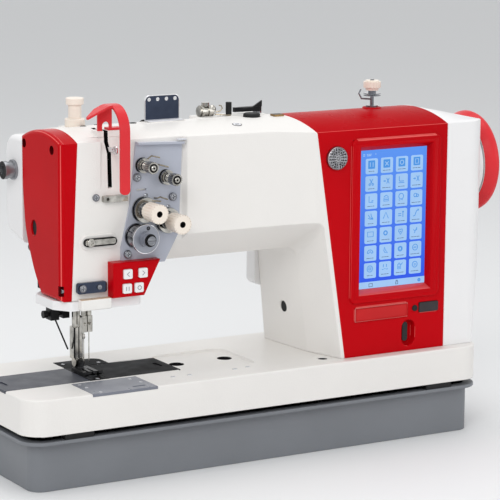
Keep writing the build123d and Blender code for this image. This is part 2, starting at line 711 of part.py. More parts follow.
def make_needle_plate():
    """Needle plate with the window for the feed dog."""
    half_x = NEEDLE_PLATE_HALF_X - PLATE_GAP
    body = span_box((-half_x, half_x), (-NEEDLE_PLATE_HALF_Y, NEEDLE_PLATE_HALF_Y), (-PLATE_THICK, 0))
    window = (-FEED_WINDOW_HALF_X, FEED_WINDOW_HALF_X)
    body -= span_box(window, FEED_WINDOW_Y, (-PLATE_THICK - CUT_OVERRUN, CUT_OVERRUN))
    return plate_holes(body, NEEDLE_PLATE_SCREW_SPOTS, PLATE_SCREW_RADIUS)


def make_screws():
    """Flush screws of the bed and its plates, with the cover screws."""
    heads = make_cover_screws()
    for x, y in BED_SCREW_SPOTS:
        heads.append(slotted_screw((x, y, -BED_SCREW_HEIGHT), UP, BED_SCREW_RADIUS, BED_SCREW_HEIGHT))
    for spots in (FRONT_PLATE_SCREW_SPOTS, REAR_PLATE_SCREW_SPOTS, NEEDLE_PLATE_SCREW_SPOTS):
        for x, y in spots:
            heads.append(slotted_screw((x, y, -BED_SCREW_HEIGHT), UP, PLATE_SCREW_RADIUS, BED_SCREW_HEIGHT))
    return Compound(children=heads)


def make_slide(x_span, outer_x):
    """Slide plate with a finger recess near its outer end."""
    body = span_box(x_span, (-SLIDE_HALF, SLIDE_HALF), (RUN_GAP - PLATE_THICK, 0))
    finger = Pos(outer_x, 0) * SlotOverall(SLIDE_FINGER_LENGTH, SLIDE_FINGER_WIDTH, rotation=QUARTER_TURN_DEG)
    return body - prism_z(finger, (-SLIDE_FINGER_DEPTH, CUT_OVERRUN))


def make_oil_pan():
    """Tray with a flange under the bed rim."""
    bottom = -BED_HEIGHT
    wall_plan = bed_plan(PAN_INSET, BED_CORNER - PAN_INSET)
    body = prism_z(wall_plan, (bottom, -PAN_FLANGE_DROP))
    flange = prism_z(bed_plan(0, BED_CORNER), (-PAN_FLANGE_DROP - PAN_FLANGE, -PAN_FLANGE_DROP))
    body += flange
    inner_inset = PAN_INSET + PAN_WALL
    hollow = bed_plan(inner_inset, BED_CORNER - inner_inset)
    body -= prism_z(hollow, (bottom + PAN_WALL, CUT_OVERRUN))
    drain_x = BED_LEFT + BED_LENGTH - DRAIN_END_INSET
    body += rod((drain_x, DRAIN_Y, bottom + PAN_WALL), UP, DRAIN_RADIUS, DRAIN_LIP)
    return body


def make_cushions():
    """Four rubber blocks between the pan flange and the bed rim."""
    blocks = []
    left = BED_LEFT + CUSHION_INSET_X
    right = BED_LEFT + BED_LENGTH - CUSHION_INSET_X
    for x in (left, right):
        for side in (-1, 1):
            y = side * (BED_DEPTH / 2 - CUSHION_INSET_Y)
            blocks.append(span_box((x - CUSHION_LENGTH / 2, x + CUSHION_LENGTH / 2),
                                   (y - CUSHION_WIDTH / 2, y + CUSHION_WIDTH / 2),
                                   (-PAN_FLANGE_DROP, -BED_RIM)))
    return Compound(children=blocks)


def arm_section(x, front, rear, edge):
    """Cross section of the arm blank with a crowned top."""
    middle = (front + rear) / 2
    crown = ThreePointArc((rear, edge), (middle, ARM_CROWN_Z), (front, edge))
    sides = Polyline((front, edge), (front, 0), (rear, 0), (rear, edge))
    return Plane.YZ.offset(x) * make_face([crown, sides])


def make_head_blank():
    """Outer shape of arm and pillar before the throat is opened."""
    spots = [(ARM_LEFT, ARM_FRONT, ARM_REAR), (ARM_STEP_X, ARM_FRONT, ARM_REAR)]
    spots += list(ARM_FLARE)
    sections = [arm_section(*spot, NOSE_EDGE_Z) for spot in spots]
    for x in (PILLAR_FRONT_X, PILLAR_RIGHT):
        sections.append(arm_section(x, PILLAR_FRONT, PILLAR_REAR, ARM_EDGE_Z))
    return loft(sections, ruled=True)


def housing_wedge(blank):
    """Front and roof shell of the pillar, outside its core."""
    slope = (HOUSING_LOW_X - PILLAR_FRONT_X) / ARM_EDGE_Z
    high = ARM_CROWN_Z + CUT_OVERRUN
    region = prism_y(((HOUSING_LOW_X, 0), (HOUSING_LOW_X - slope * high, high), (PILLAR_RIGHT, high),
                      (PILLAR_RIGHT, 0)), (PILLAR_FRONT - CUT_OVERRUN, HOUSING_REAR))
    core_left = PILLAR_FRONT_X - HOUSING_WALL
    core = span_box((core_left, PILLAR_RIGHT + CUT_OVERRUN),
                    (PILLAR_FRONT + HOUSING_WALL, HOUSING_REAR + CUT_OVERRUN),
                    (-CUT_OVERRUN, HOUSING_ROOF_Z))
    return (blank & region) - core


def throat_outline(points, corner, y):
    """Opening between nose, arm and pillar at one depth."""
    knee, top_left, top_right, foot = points
    outline = Polygon((NOSE_RIGHT_LOW, -CUT_OVERRUN), (NOSE_RIGHT_LOW, NOSE_BOTTOM), knee, top_left,
                      top_right,
                      (foot[0], foot[1] - CUT_OVERRUN), align=None)
    turn = outline.vertices().sort_by_distance(top_right)[0]
    return Plane.XZ.offset(-y) * fillet(turn, corner)


def throat_cut():
    """Space between nose, arm and pillar, wide at the front and straight behind."""
    depths = (THROAT_OUTER_Y, THROAT_INNER_Y, THROAT_REAR_Y)
    outlines = (THROAT_OUTER, THROAT_INNER, THROAT_REAR)
    return loft([throat_outline(points, corner, y)
                 for points, corner, y in zip(outlines, THROAT_CORNERS, depths)],
                ruled=True)


def joint_cutter():
    """Everything left of the slanted joint between nose and face plate."""
    slope = (JOINT_TOP_X - JOINT_LOW_X) / (ARM_CROWN_Z - NOSE_BOTTOM)
    low = -NOSE_BOTTOM
    high = ARM_CROWN_Z + NOSE_BOTTOM
    x_low = JOINT_LOW_X + slope * (low - NOSE_BOTTOM)
    x_high = JOINT_LOW_X + slope * (high - NOSE_BOTTOM)
    far = ARM_LEFT + FACE_LEFT
    reach = (PILLAR_FRONT, PILLAR_REAR + CUT_OVERRUN)
    return prism_y(((far, low), (x_low, low), (x_high, high), (far, high)), reach)


def make_arm(blank, housing):
    """Arm casting with nose, throat, pillar core, cavities, bores and pads."""
    body = blank - throat_cut()
    under_nose = span_box((ARM_LEFT - CUT_OVERRUN, NOSE_RIGHT_LOW), (PILLAR_FRONT, PILLAR_REAR + CUT_OVERRUN),
                          (-CUT_OVERRUN, NOSE_BOTTOM))
    body -= under_nose
    rear = ARM_REAR + CUT_OVERRUN
    taper = prism_x(((ARM_REAR, NOSE_TAPER_TOP), (rear, NOSE_TAPER_TOP), (rear, NOSE_BOTTOM - CUT_OVERRUN),
                     (NOSE_TAPER_REAR, NOSE_BOTTOM - CUT_OVERRUN)), (ARM_LEFT - CUT_OVERRUN, NOSE_RIGHT_HIGH))
    body -= taper
    for pad in (GUARD_PAD, REGULATOR_PAD, GUIDE_PAD, WINDER_PAD):
        x_span, y_span, top = pad
        body += span_box(x_span, y_span, (top - PAD_DEPTH, top))
        body -= span_box(x_span, y_span, (top, top + PAD_DEPTH))
    body -= housing
    body -= joint_cutter()
    body += boss_pad()
    body -= span_box(NOSE_CAVITY_X, NOSE_CAVITY_Y, NOSE_CAVITY_Z)
    body -= span_box(ARM_CAVITY_X, ARM_CAVITY_Y, ARM_CAVITY_Z)
    body -= span_box(BELT_CAVITY_X, BELT_CAVITY_Y, (-CUT_OVERRUN, ARM_CAVITY_Z[1]))
    body -= rod((NOSE_CAVITY_X[0], 0, SHAFT_Z), RIGHT, SHAFT_RADIUS + RUN_GAP,
                PILLAR_RIGHT - NOSE_CAVITY_X[0] + CUT_OVERRUN)
    for side in (-1, 1):
        body -= rod((side * NEEDLE_GAUGE / 2, 0, NOSE_CAVITY_Z[0] + CUT_OVERRUN), DOWN, BAR_RADIUS + RUN_GAP,
                    NOSE_CAVITY_Z[0] - NOSE_BOTTOM + 2 * CUT_OVERRUN)
    body -= rod((0, PRESSER_Y, NOSE_CAVITY_Z[0] + CUT_OVERRUN), DOWN, PRESSER_RADIUS + RUN_GAP,
                NOSE_CAVITY_Z[0] - NOSE_BOTTOM + 2 * CUT_OVERRUN)
    slot = (TAKE_UP_X - TAKE_UP_SLOT_HALF, TAKE_UP_X + TAKE_UP_SLOT_HALF)
    body -= span_box(slot, (PILLAR_FRONT, TAKE_UP_SLOT_REAR), TAKE_UP_SLOT_Z)
    recess = list(TAKE_UP_RECESS_PROFILE)
    recess += [(PILLAR_FRONT, recess[-1][1]), (PILLAR_FRONT, recess[0][1])]
    body -= prism_x(recess, TAKE_UP_RECESS_X)
    for piece in (make_dome(), make_cutter(), make_lifter_pin(), make_pillar_plug(-PAD_DEPTH)):
        body -= piece
    return body


def boss_pad():
    """Raised oval seat for the lower thread guide."""
    length = BOSS_X[1] - BOSS_X[0]
    outline = Pos((BOSS_X[0] + BOSS_X[1]) / 2, BOSS_Z) * SlotOverall(length, 2 * BOSS_HALF)
    return extrude(Plane.XZ.offset(BOSS_RISE - ARM_FRONT) * outline, 2 * BOSS_RISE, dir=BACK)


def make_face_plate():
    """Hollow cover over the left end of the nose."""
    front_low, front_high, rear_high = FACE_OUTLINE[:3]
    middle = (front_high[0] + rear_high[0]) / 2
    crown = ThreePointArc(front_high, (middle, FACE_CROWN_Z), rear_high)
    sides = Polyline(*FACE_OUTLINE[2:], front_low, front_high)
    outline = make_face([crown, sides])
    for bend in FACE_OUTLINE[3:-1]:
        outline = fillet(outline.vertices().sort_by_distance(bend)[0], FACE_BEND)
    reach = JOINT_TOP_X - FACE_LEFT + CUT_OVERRUN
    body = extrude(Plane.YZ.offset(FACE_LEFT) * outline, reach, dir=RIGHT)
    body = fillet(body.faces().sort_by(Axis.X)[0].edges(), FACE_ROUND)
    inner = offset(outline, -FACE_WALL, kind=Kind.INTERSECTION)
    body -= extrude(Plane.YZ.offset(FACE_LEFT + FACE_WALL) * inner, reach, dir=RIGHT)
    y, z = FACE_LOW_SCREW
    half = FACE_POCKET / 2
    body += span_box((FACE_LEFT + FACE_WALL / 2, FACE_LEFT + FACE_WALL + half),
                     (y + FACE_WALL / 2, y + FACE_POCKET),
                     (z - half - FACE_WALL, z + half + FACE_WALL))
    for y, z in FACE_SCREW_SPOTS:
        body += rod((FACE_LEFT + FACE_WALL / 2, y, z), RIGHT, FACE_SCREW_RADIUS + FACE_WALL / 2,
                    2 * FACE_WALL)
    body = body & joint_cutter()
    for y, z in FACE_SCREW_SPOTS:
        body -= rod((FACE_LEFT - CUT_OVERRUN, y, z), RIGHT, FACE_SCREW_RADIUS, CUT_OVERRUN + 2 * FACE_WALL)
    y, z = FACE_PLUG_AT
    ellipse = Plane.YZ.offset(FACE_LEFT - CUT_OVERRUN) * (Pos(y, z) * Ellipse(*FACE_PLUG_RADII))
    body -= extrude(ellipse, CUT_OVERRUN + 2 * FACE_WALL, dir=RIGHT)
    y, z = FACE_LOW_SCREW
    body -= span_box((FACE_LEFT - CUT_OVERRUN, FACE_LEFT + FACE_WALL), (y - half, y + half),
                     (z - half, z + half))
    return body


def make_rubber_plugs():
    """Black plugs: face plate window, dome on the arm, pillar hole, port button."""
    y, z = FACE_PLUG_AT
    oval = Plane.YZ.offset(FACE_LEFT + FACE_WALL / 2) * (Pos(y, z) * Ellipse(*FACE_PLUG_RADII))
    parts = [extrude(oval, FACE_WALL / 2, dir=RIGHT)]
    parts += [make_dome(), make_pillar_plug(PILLAR_PLUG_INSET)]
    z = (PORT_Z[0] + PORT_Z[1]) / 2
    parts.append(rod((PORT_BUTTON_X, PILLAR_FRONT, z), FRONT, PORT_BUTTON_RADIUS, PORT_RISE))
    return Compound(children=parts)


def make_dome():
    """Round black cap let into the top of the arm."""
    x, y = DOME_AT
    body = rod((x, y, ARM_CROWN_Z - DOME_RISE), UP, DOME_RADIUS, 2 * DOME_RISE)
    return fillet(body.edges().group_by(Axis.Z)[-1], DOME_RISE / 2)


def make_pillar_plug(inset):
    """Round plug in the throat side of the pillar, set in from the face."""
    y, z = PILLAR_HOLE_AT
    share = (y - THROAT_INNER_Y) / (THROAT_REAR_Y - THROAT_INNER_Y)
    low = THROAT_INNER[-1][0] + share * (THROAT_REAR[-1][0] - THROAT_INNER[-1][0])
    high = THROAT_INNER[-2][0] + share * (THROAT_REAR[-2][0] - THROAT_INNER[-2][0])
    face = low + (high - low) * z / ARM_UNDERSIDE
    return rod((face + inset, y, z), RIGHT, PILLAR_HOLE_RADIUS, PAD_DEPTH - inset)


def make_cutter():
    """Thread cutter block let into the top of the arm."""
    return span_box(CUTTER_X, CUTTER_Y, CUTTER_Z)


def make_cover_screws():
    """Screws of the face plate, tension plate, guide bar and nose guide."""
    heads = []
    for y, z in FACE_SCREW_SPOTS:
        start = FACE_LEFT + 2 * FACE_WALL
        heads.append(crossed_screw((start, y, z), LEFT, FACE_SCREW_RADIUS - RUN_GAP, FACE_SCREW_HEIGHT))
    y, z = FACE_LOW_SCREW
    heads.append(crossed_screw((FACE_LEFT + FACE_WALL, y + FACE_POCKET / 4, z), LEFT, FACE_POCKET / 4,
                               FACE_WALL / 2))
    for x, z in TENSION_SCREWS:
        y = ARM_FRONT - TENSION_PLATE_THICK
        heads.append(crossed_screw((x, y, z), FRONT, TENSION_SCREW_RADIUS, FACE_SCREW_HEIGHT))
    for x, z, radius in GUIDE_BAR_SCREWS:
        heads.append(crossed_screw((x, ARM_FRONT - GUIDE_BAR_THICK, z), FRONT, radius, radius / 2))
    x, z, radius = GUIDE_SCREW
    heads.append(crossed_screw((x, ARM_FRONT, z), FRONT, radius, radius / 2))
    return heads


def make_nose_plate():
    """White plate under the nose with a window for the bars."""
    plan = Polygon(*NOSE_PLATE_OUTLINE, align=None)
    plan = fillet(plan.vertices(), NOSE_PLATE_ROUND)
    body = prism_z(plan, NOSE_PLATE_Z)
    body -= span_box(*NOSE_PLATE_WINDOW, (NOSE_PLATE_Z[0] - CUT_OVERRUN, NOSE_PLATE_Z[1] + CUT_OVERRUN))
    return body


def make_lamp():
    """Lamp block on the front of the nose plate."""
    body = span_box(LAMP_X, LAMP_Y, LAMP_Z)
    return fillet(body.edges(), LAMP_ROUND)


def make_guide_bar():
    """Black bar across the foot of the nose."""
    body = span_box(GUIDE_BAR_X, (ARM_FRONT - GUIDE_BAR_THICK, ARM_FRONT), GUIDE_BAR_Z)
    corner = (GUIDE_BAR_Z[1] - GUIDE_BAR_Z[0]) / 4
    return fillet(body.edges().filter_by(Axis.Y), corner)


def make_tension_plate():
    """Sheet plate with a folded lip that carries the tensions."""
    body = prism_y(TENSION_PLATE_OUTLINE, (ARM_FRONT - TENSION_PLATE_THICK, ARM_FRONT))
    left, right = TENSION_PLATE_OUTLINE[0], TENSION_PLATE_OUTLINE[1]
    lip = ((left[0], left[1]), (right[0], right[1]), (right[0], right[1] - TENSION_PLATE_THICK),
           (left[0], left[1] - TENSION_PLATE_THICK))
    body += prism_y(lip, (ARM_FRONT - TENSION_LIP, ARM_FRONT))
    slit_x, slit_z = TENSION_SLIT
    return body - span_box(slit_x,
                           (ARM_FRONT - TENSION_PLATE_THICK - CUT_OVERRUN, ARM_FRONT + CUT_OVERRUN), slit_z)


def tension_start():
    """Front face of the tension plate."""
    return ARM_FRONT - TENSION_PLATE_THICK


def make_tension_discs():
    """Studs, discs and springs of the four tensions."""
    parts = []
    y = tension_start()
    groups = ((MAIN_TENSIONS, MAIN_DISC_STEPS, MAIN_STUD_LENGTH, MAIN_SPRING),
              (PRE_TENSIONS, PRE_DISC_STEPS, PRE_STUD_LENGTH, PRE_SPRING))
    for spots, steps, stud_length, spring in groups:
        for x, z in spots:
            body = turned((x, y, z), FRONT, steps)
            body += rod((x, y, z), FRONT, STUD_RADIUS, stud_length)
            parts.append(body)
            parts += spring_rings((x, y - stack_length(steps), z), FRONT, spring)
    for spot in PRE_TENSIONS:
        parts.append(make_nut(spot, PRE_DISC_STEPS, PRE_SPRING, PRE_NUT, PRE_NUT_MOUTH))
    return Compound(children=parts)


def make_nut(spot, disc_steps, spring, nut, mouth):
    """Tapered round tension nut with grip notches, open at its tip."""
    x, z = spot
    base, tip, length = nut
    y = tension_start() - stack_length(disc_steps) - SPRING_RING_COUNT * spring[1]
    body = Plane((x, y, z), z_dir=FRONT) * Cone(base, tip, length, align=UPRIGHT)
    body -= rod((x, y + CUT_OVERRUN, z), FRONT, STUD_RADIUS + RUN_GAP, length + 2 * CUT_OVERRUN)
    mouth_radius, mouth_depth = mouth
    body -= rod((x, y - length + mouth_depth, z), FRONT, mouth_radius, mouth_depth + CUT_OVERRUN)
    return notched(body, (x, y + CUT_OVERRUN, z), FRONT, base, length + 2 * CUT_OVERRUN, NUT_NOTCH_COUNT,
                   NUT_NOTCH)


def make_take_up_spring():
    """Regulator drum with its check spring wire."""
    x, z = REGULATOR_AT
    y = tension_start()
    body = turned((x, y, z), FRONT, REGULATOR_STEPS)
    head = y - stack_length(REGULATOR_STEPS)
    slot_radius = REGULATOR_STEPS[-1][0]
    body -= Pos(x, head, z) * Box(slot_radius * 4, SLOT_DEPTH * 2, SLOT_WIDTH)
    dx, dz = CHECK_REACH
    wire_y = y - REGULATOR_STEPS[0][1] - REGULATOR_STEPS[1][1] / 2
    length = math.hypot(dx, dz)
    direction = (dx / length, 0, dz / length)
    body += rod((x, wire_y, z), direction, CHECK_WIRE, length)
    return body


def make_thread_guides():
    """Chrome guides on the front of the nose."""
    lever = span_box(GUIDE_LEVER_X, (ARM_FRONT - GUIDE_LEVER_THICK, ARM_FRONT), GUIDE_LEVER_Z)
    middle = (GUIDE_LEVER_Z[0] + GUIDE_LEVER_Z[1]) / 2
    eye_x = GUIDE_LEVER_X[0] + GUIDE_LEVER_THICK
    lever -= rod((eye_x, ARM_FRONT + CUT_OVERRUN, middle), FRONT, GUIDE_LEVER_EYE,
                 GUIDE_LEVER_THICK + 2 * CUT_OVERRUN)
    lever = fillet(lever.edges().filter_by(Axis.Y).group_by(Axis.X)[0], GUIDE_LEVER_THICK / 3)
    start = ARM_FRONT - BOSS_RISE
    half = BOSS_GUIDE_WIDTH / 2
    finger = span_box(BOSS_GUIDE_X, (start - BOSS_GUIDE_THICK, start), (BOSS_Z - half, BOSS_Z + half))
    finger = fillet(finger.edges().filter_by(Axis.Y), half * 2 / 3)
    head_x = BOSS_GUIDE_X[0] + BOSS_GUIDE_WIDTH
    finger += crossed_screw((head_x, start - BOSS_GUIDE_THICK, BOSS_Z), FRONT, BOSS_GUIDE_HEAD,
                            BOSS_GUIDE_HEAD / 2)
    return Compound(children=[lever, finger])


def link_x(start_point, end_point, half, x_span):
    """Flat link with round ends between two Y and Z points, carried along X."""
    reach = math.hypot(end_point[0] - start_point[0], end_point[1] - start_point[1])
    across = ((end_point[1] - start_point[1]) / reach * half, (start_point[0] - end_point[0]) / reach * half)
    points = ((start_point[0] + across[0], start_point[1] + across[1]),
              (end_point[0] + across[0], end_point[1] + across[1]),
              (end_point[0] - across[0], end_point[1] - across[1]),
              (start_point[0] - across[0], start_point[1] - across[1]))
    body = prism_x(points, x_span)
    for y, z in (start_point, end_point):
        body += rod((x_span[0], y, z), RIGHT, half, x_span[1] - x_span[0])
    return body


def make_take_up_lever():
    """Cranked take-up lever with two eyes at its tip."""
    y, z = TAKE_UP_PIVOT
    tip_y, tip_z = TAKE_UP_TIP
    start = TAKE_UP_X - TAKE_UP_THICK / 2
    span = (start, start + TAKE_UP_THICK)
    body = rod((start, y, z), RIGHT, TAKE_UP_HUB, TAKE_UP_THICK)
    body += link_x(TAKE_UP_PIVOT, TAKE_UP_ELBOW, TAKE_UP_ARM, span)
    body += link_x(TAKE_UP_ELBOW, TAKE_UP_TIP, TAKE_UP_ARM, span)
    body += rod((start, tip_y, tip_z), RIGHT, TAKE_UP_TIP_RADIUS, TAKE_UP_THICK)
    bore = TAKE_UP_THICK + 2 * CUT_OVERRUN
    for eye_y in (tip_y, tip_y + TAKE_UP_EYE_GAP):
        body -= rod((start - CUT_OVERRUN, eye_y, tip_z), RIGHT, TAKE_UP_EYE, bore)
    return body - rod((start - CUT_OVERRUN, y, z), RIGHT, TAKE_UP_PIN + RUN_GAP, bore)


def guard_strap():
    """Strap of the guard: straight down the front and bent back over the top."""
    rear = GUARD_WALL_Y + GUARD_SHEET
    inner = GUARD_STRAP_FRONT + GUARD_SHEET
    under = GUARD_TOP - GUARD_SHEET
    outline = Polygon((GUARD_STRAP_FRONT, GUARD_STRAP_LOW), (GUARD_STRAP_FRONT, GUARD_TOP), (rear, GUARD_TOP),
                      (rear, under), (inner, under), (inner, GUARD_STRAP_LOW), align=None)
    turn = outline.vertices().sort_by_distance((GUARD_STRAP_FRONT, GUARD_TOP))[0]
    outline = fillet(turn, GUARD_BEND)
    turn = outline.vertices().sort_by_distance((inner, under))[0]
    outline = fillet(turn, GUARD_BEND - GUARD_SHEET)
    width = GUARD_STRAP_X[1] - GUARD_STRAP_X[0]
    body = extrude(Plane.YZ.offset(GUARD_STRAP_X[0]) * outline, width, dir=RIGHT)
    return fillet(body.edges().filter_by(Axis.Y).group_by(Axis.Z)[0], GUARD_STRAP_ROUND)


def make_take_up_guard():
    """Red guard: wall with an arch, beaked roof, foot and a strap in front of the lever."""
    seat = GUARD_PAD[2]
    rear = GUARD_WALL_Y + GUARD_SHEET
    under = GUARD_TOP - GUARD_SHEET
    tip_x, tip_z = GUARD_ROOF_TIP
    right = GUARD_STRAP_X[1]
    rise = (GUARD_TOP - tip_z) / (GUARD_ROOF_BEND_X - tip_x)
    wall = ((GUARD_WALL_X[0], seat), (GUARD_WALL_X[1], seat), (GUARD_WALL_X[1], under),
            (GUARD_ROOF_BEND_X, under),
            (GUARD_WALL_X[0], under - rise * (GUARD_ROOF_BEND_X - GUARD_WALL_X[0])))
    body = prism_y(wall, (GUARD_WALL_Y, rear))
    arch_z = seat + GUARD_ARCH_RISE - GUARD_ARCH
    reach = (GUARD_WALL_Y - CUT_OVERRUN, rear + CUT_OVERRUN)
    body -= rod((TAKE_UP_X, reach[1], arch_z), FRONT, GUARD_ARCH, reach[1] - reach[0])
    body -= span_box((TAKE_UP_X - GUARD_ARCH, TAKE_UP_X + GUARD_ARCH), reach, (seat - CUT_OVERRUN, arch_z))
    roof = ((right, GUARD_TOP), (GUARD_ROOF_BEND_X, GUARD_TOP), (tip_x, tip_z), (tip_x, tip_z - GUARD_SHEET),
            (GUARD_ROOF_BEND_X, under), (right, under))
    outline = Polygon(*roof, align=None)
    outline = fillet(outline.vertices().sort_by_distance((GUARD_ROOF_BEND_X, GUARD_TOP))[0], GUARD_ROOF_ROUND)
    turn = outline.vertices().sort_by_distance((GUARD_ROOF_BEND_X, under))[0]
    outline = fillet(turn, GUARD_ROOF_ROUND - GUARD_SHEET)
    beak = extrude(Plane.XZ.offset(-GUARD_ROOF_FRONT) * outline, rear - GUARD_ROOF_FRONT, dir=BACK)
    corner = ((tip_x - CUT_OVERRUN, GUARD_ROOF_FRONT + GUARD_TIP_WIDTH),
              (GUARD_WALL_X[0], rear + CUT_OVERRUN),
              (tip_x - CUT_OVERRUN, rear + CUT_OVERRUN))
    beak -= prism_z(Polygon(*corner, align=None), (tip_z - 2 * GUARD_SHEET, GUARD_TOP + CUT_OVERRUN))
    beak -= span_box((GUARD_STRAP_X[0], right + CUT_OVERRUN), (GUARD_ROOF_FRONT - CUT_OVERRUN,
                     GUARD_STRAP_FRONT + GUARD_BEND), (under - CUT_OVERRUN, GUARD_TOP + CUT_OVERRUN))
    body += beak
    body += guard_strap()
    body += span_box(GUARD_FOOT_X, (GUARD_WALL_Y, GUARD_FOOT_REAR), (seat, seat + GUARD_SHEET))
    return body


def make_key_box():
    """Red box with four key wells."""
    body = prism_y(KEY_BOX_OUTLINE, (KEY_BOX_FRONT, ARM_FRONT))
    body = fillet(body.faces().sort_by(Axis.Y)[0].edges(), KEY_BOX_ROUND)
    for x, z in KEY_SPOTS:
        half = KEY_SIZE / 2 + SLIP_GAP
        well = front_rectangle((x - half, x + half), (z - half, z + half), KEY_ROUND,
                               KEY_BOX_FRONT + KEY_WELL)
        body -= extrude(well, KEY_WELL + CUT_OVERRUN, dir=FRONT)
    return body


def make_key(spot):
    """One push key."""
    x, z = spot
    half = KEY_SIZE / 2
    face = front_rectangle((x - half, x + half), (z - half, z + half), KEY_ROUND, KEY_BOX_FRONT + KEY_TAIL)
    body = extrude(face, KEY_TAIL + KEY_RISE, dir=FRONT)
    return fillet(body.faces().sort_by(Axis.Y)[0].edges(), KEY_ROUND / 3)


def make_panel_housing(housing):
    """Red front and roof of the pillar with the screen frame."""
    frame = front_rectangle(BEZEL_X, BEZEL_Z, BEZEL_CORNER, PILLAR_FRONT)
    ring = extrude(frame, BEZEL_RISE, dir=FRONT)
    ring = fillet(ring.faces().sort_by(Axis.Y)[0].edges(), BEZEL_RISE / 2)
    body = housing + ring
    plate = front_rectangle(NAME_PLATE_X, NAME_PLATE_Z, NAME_PLATE_CORNER, PILLAR_FRONT)
    body += extrude(plate, NAME_PLATE_RISE, dir=FRONT)
    mouth_x = (BEZEL_X[0] + BEZEL_RIM, BEZEL_X[1] - BEZEL_RIM)
    mouth_z = (BEZEL_Z[0] + BEZEL_RIM, BEZEL_Z[1] - BEZEL_RIM)
    mouth = front_rectangle(mouth_x, mouth_z, SCREEN_CORNER, PILLAR_FRONT - BEZEL_RISE - CUT_OVERRUN)
    floor = front_rectangle(SCREEN_X, SCREEN_Z, SCREEN_CORNER, PILLAR_FRONT + SCREEN_DROP - SCREEN_THICK)
    body -= loft([mouth, floor], ruled=True)
    glass = front_rectangle(SCREEN_X, SCREEN_Z, SCREEN_CORNER, PILLAR_FRONT + SCREEN_DROP)
    body -= extrude(glass, SCREEN_THICK + CUT_OVERRUN, dir=FRONT)
    x, z = SPEAKER_AT
    body -= rod((x, PILLAR_FRONT + SPEAKER_SEAT, z), FRONT, SPEAKER_RADIUS, SPEAKER_SEAT + CUT_OVERRUN)
    half = SIGHT_WIDTH / 2
    sight = front_rectangle((SIGHT_X - half, SIGHT_X + half), SIGHT_Z, half - SLIP_GAP,
                            PILLAR_FRONT + SIGHT_DEPTH)
    body -= extrude(sight, SIGHT_DEPTH + CUT_OVERRUN, dir=FRONT)
    gap = SLIP_GAP
    port = front_rectangle((PORT_X[0] - gap, PORT_X[1] + gap), (PORT_Z[0] - gap, PORT_Z[1] + gap),
                           PORT_CORNER,
                           PILLAR_FRONT + PORT_THICK)
    body -= extrude(port, PORT_THICK + CUT_OVERRUN, dir=FRONT)
    z = (PORT_Z[0] + PORT_Z[1]) / 2
    x, y = POST_AT
    body += rod((x, y, ARM_EDGE_Z), UP, POST_PAD[0], POST_PAD[1] - ARM_EDGE_Z)
    return body


def make_display():
    """Glass of the touch screen."""
    glass = front_rectangle(SCREEN_X, SCREEN_Z, SCREEN_CORNER, PILLAR_FRONT + SCREEN_DROP)
    return extrude(glass, SCREEN_THICK, dir=FRONT)


def make_speaker():
    """Domed grille with radial ribs."""
    x, z = SPEAKER_AT
    start = PILLAR_FRONT + SPEAKER_SEAT
    body = rod((x, start, z), FRONT, SPEAKER_RADIUS, SPEAKER_SEAT + SPEAKER_RISE)
    body = fillet(body.faces().sort_by(Axis.Y)[0].edges(), SPEAKER_RISE / 2)
    frame = Plane((x, start, z), z_dir=FRONT)
    for index in range(SPEAKER_RIB_COUNT):
        turn = Rot(0, 0, 2 * HALF_TURN_DEG * index / SPEAKER_RIB_COUNT)
        middle = (SPEAKER_CAP + SPEAKER_RADIUS) / 2
        groove = Pos(middle, 0, SPEAKER_SEAT + SPEAKER_RISE) * Box(SPEAKER_RADIUS - SPEAKER_CAP - SPEAKER_RIB,
                                                                     SPEAKER_RIB, SPEAKER_RISE / 2)
        body -= frame * (turn * groove)
    return body


def make_sight():
    """Dark sight glass at the bottom of the oval recess."""
    half = SIGHT_SLOT_WIDTH / 2
    middle = (SIGHT_Z[0] + SIGHT_Z[1]) / 2
    z_span = (middle - SIGHT_SLOT_LENGTH / 2, middle + SIGHT_SLOT_LENGTH / 2)
    face = front_rectangle((SIGHT_X - half, SIGHT_X + half), z_span, half - SLIP_GAP,
                           PILLAR_FRONT + SIGHT_DEPTH)
    return extrude(face, SIGHT_THICK, dir=FRONT)


def make_port_cover():
    """Rubber flap over the port with its tether."""
    face = front_rectangle(PORT_X, PORT_Z, PORT_CORNER, PILLAR_FRONT + PORT_THICK - PORT_RISE)
    return extrude(face, PORT_THICK, dir=FRONT)


def cover_shape(wall):
    """End cover volume drawn in by a wall thickness."""
    left = PILLAR_RIGHT - (CUT_OVERRUN if wall else 0)
    points = ((left, PILLAR_FRONT + wall), (COVER_RIGHT - wall, PILLAR_FRONT + wall),
              (COVER_RIGHT - wall, PILLAR_REAR - wall), (left, PILLAR_REAR - wall))
    plan = Polygon(*points, align=None)
    plan = fillet(plan.vertices().sort_by(Axis.X)[-2:], COVER_CORNER - wall)
    body = prism_z(plan, (wall, ARM_CROWN_Z))
    side = ((left, wall), (COVER_LOW_RIGHT - wall, wall), (COVER_RIGHT - wall, COVER_BEND_Z),
            (COVER_RIGHT - wall, COVER_END_Z - wall), (left, ARM_CROWN_Z - wall))
    body &= prism_y(side, (PILLAR_FRONT, PILLAR_REAR))
    edge = ARM_EDGE_Z - wall
    middle = (PILLAR_FRONT + PILLAR_REAR) / 2
    crown = ThreePointArc((PILLAR_REAR, edge), (middle, ARM_CROWN_Z - wall), (PILLAR_FRONT, edge))
    sides = Polyline((PILLAR_FRONT, edge), (PILLAR_FRONT, 0), (PILLAR_REAR, 0), (PILLAR_REAR, edge))
    section = Plane.YZ.offset(left) * make_face([crown, sides])
    return body & extrude(section, COVER_RIGHT - left, dir=RIGHT)


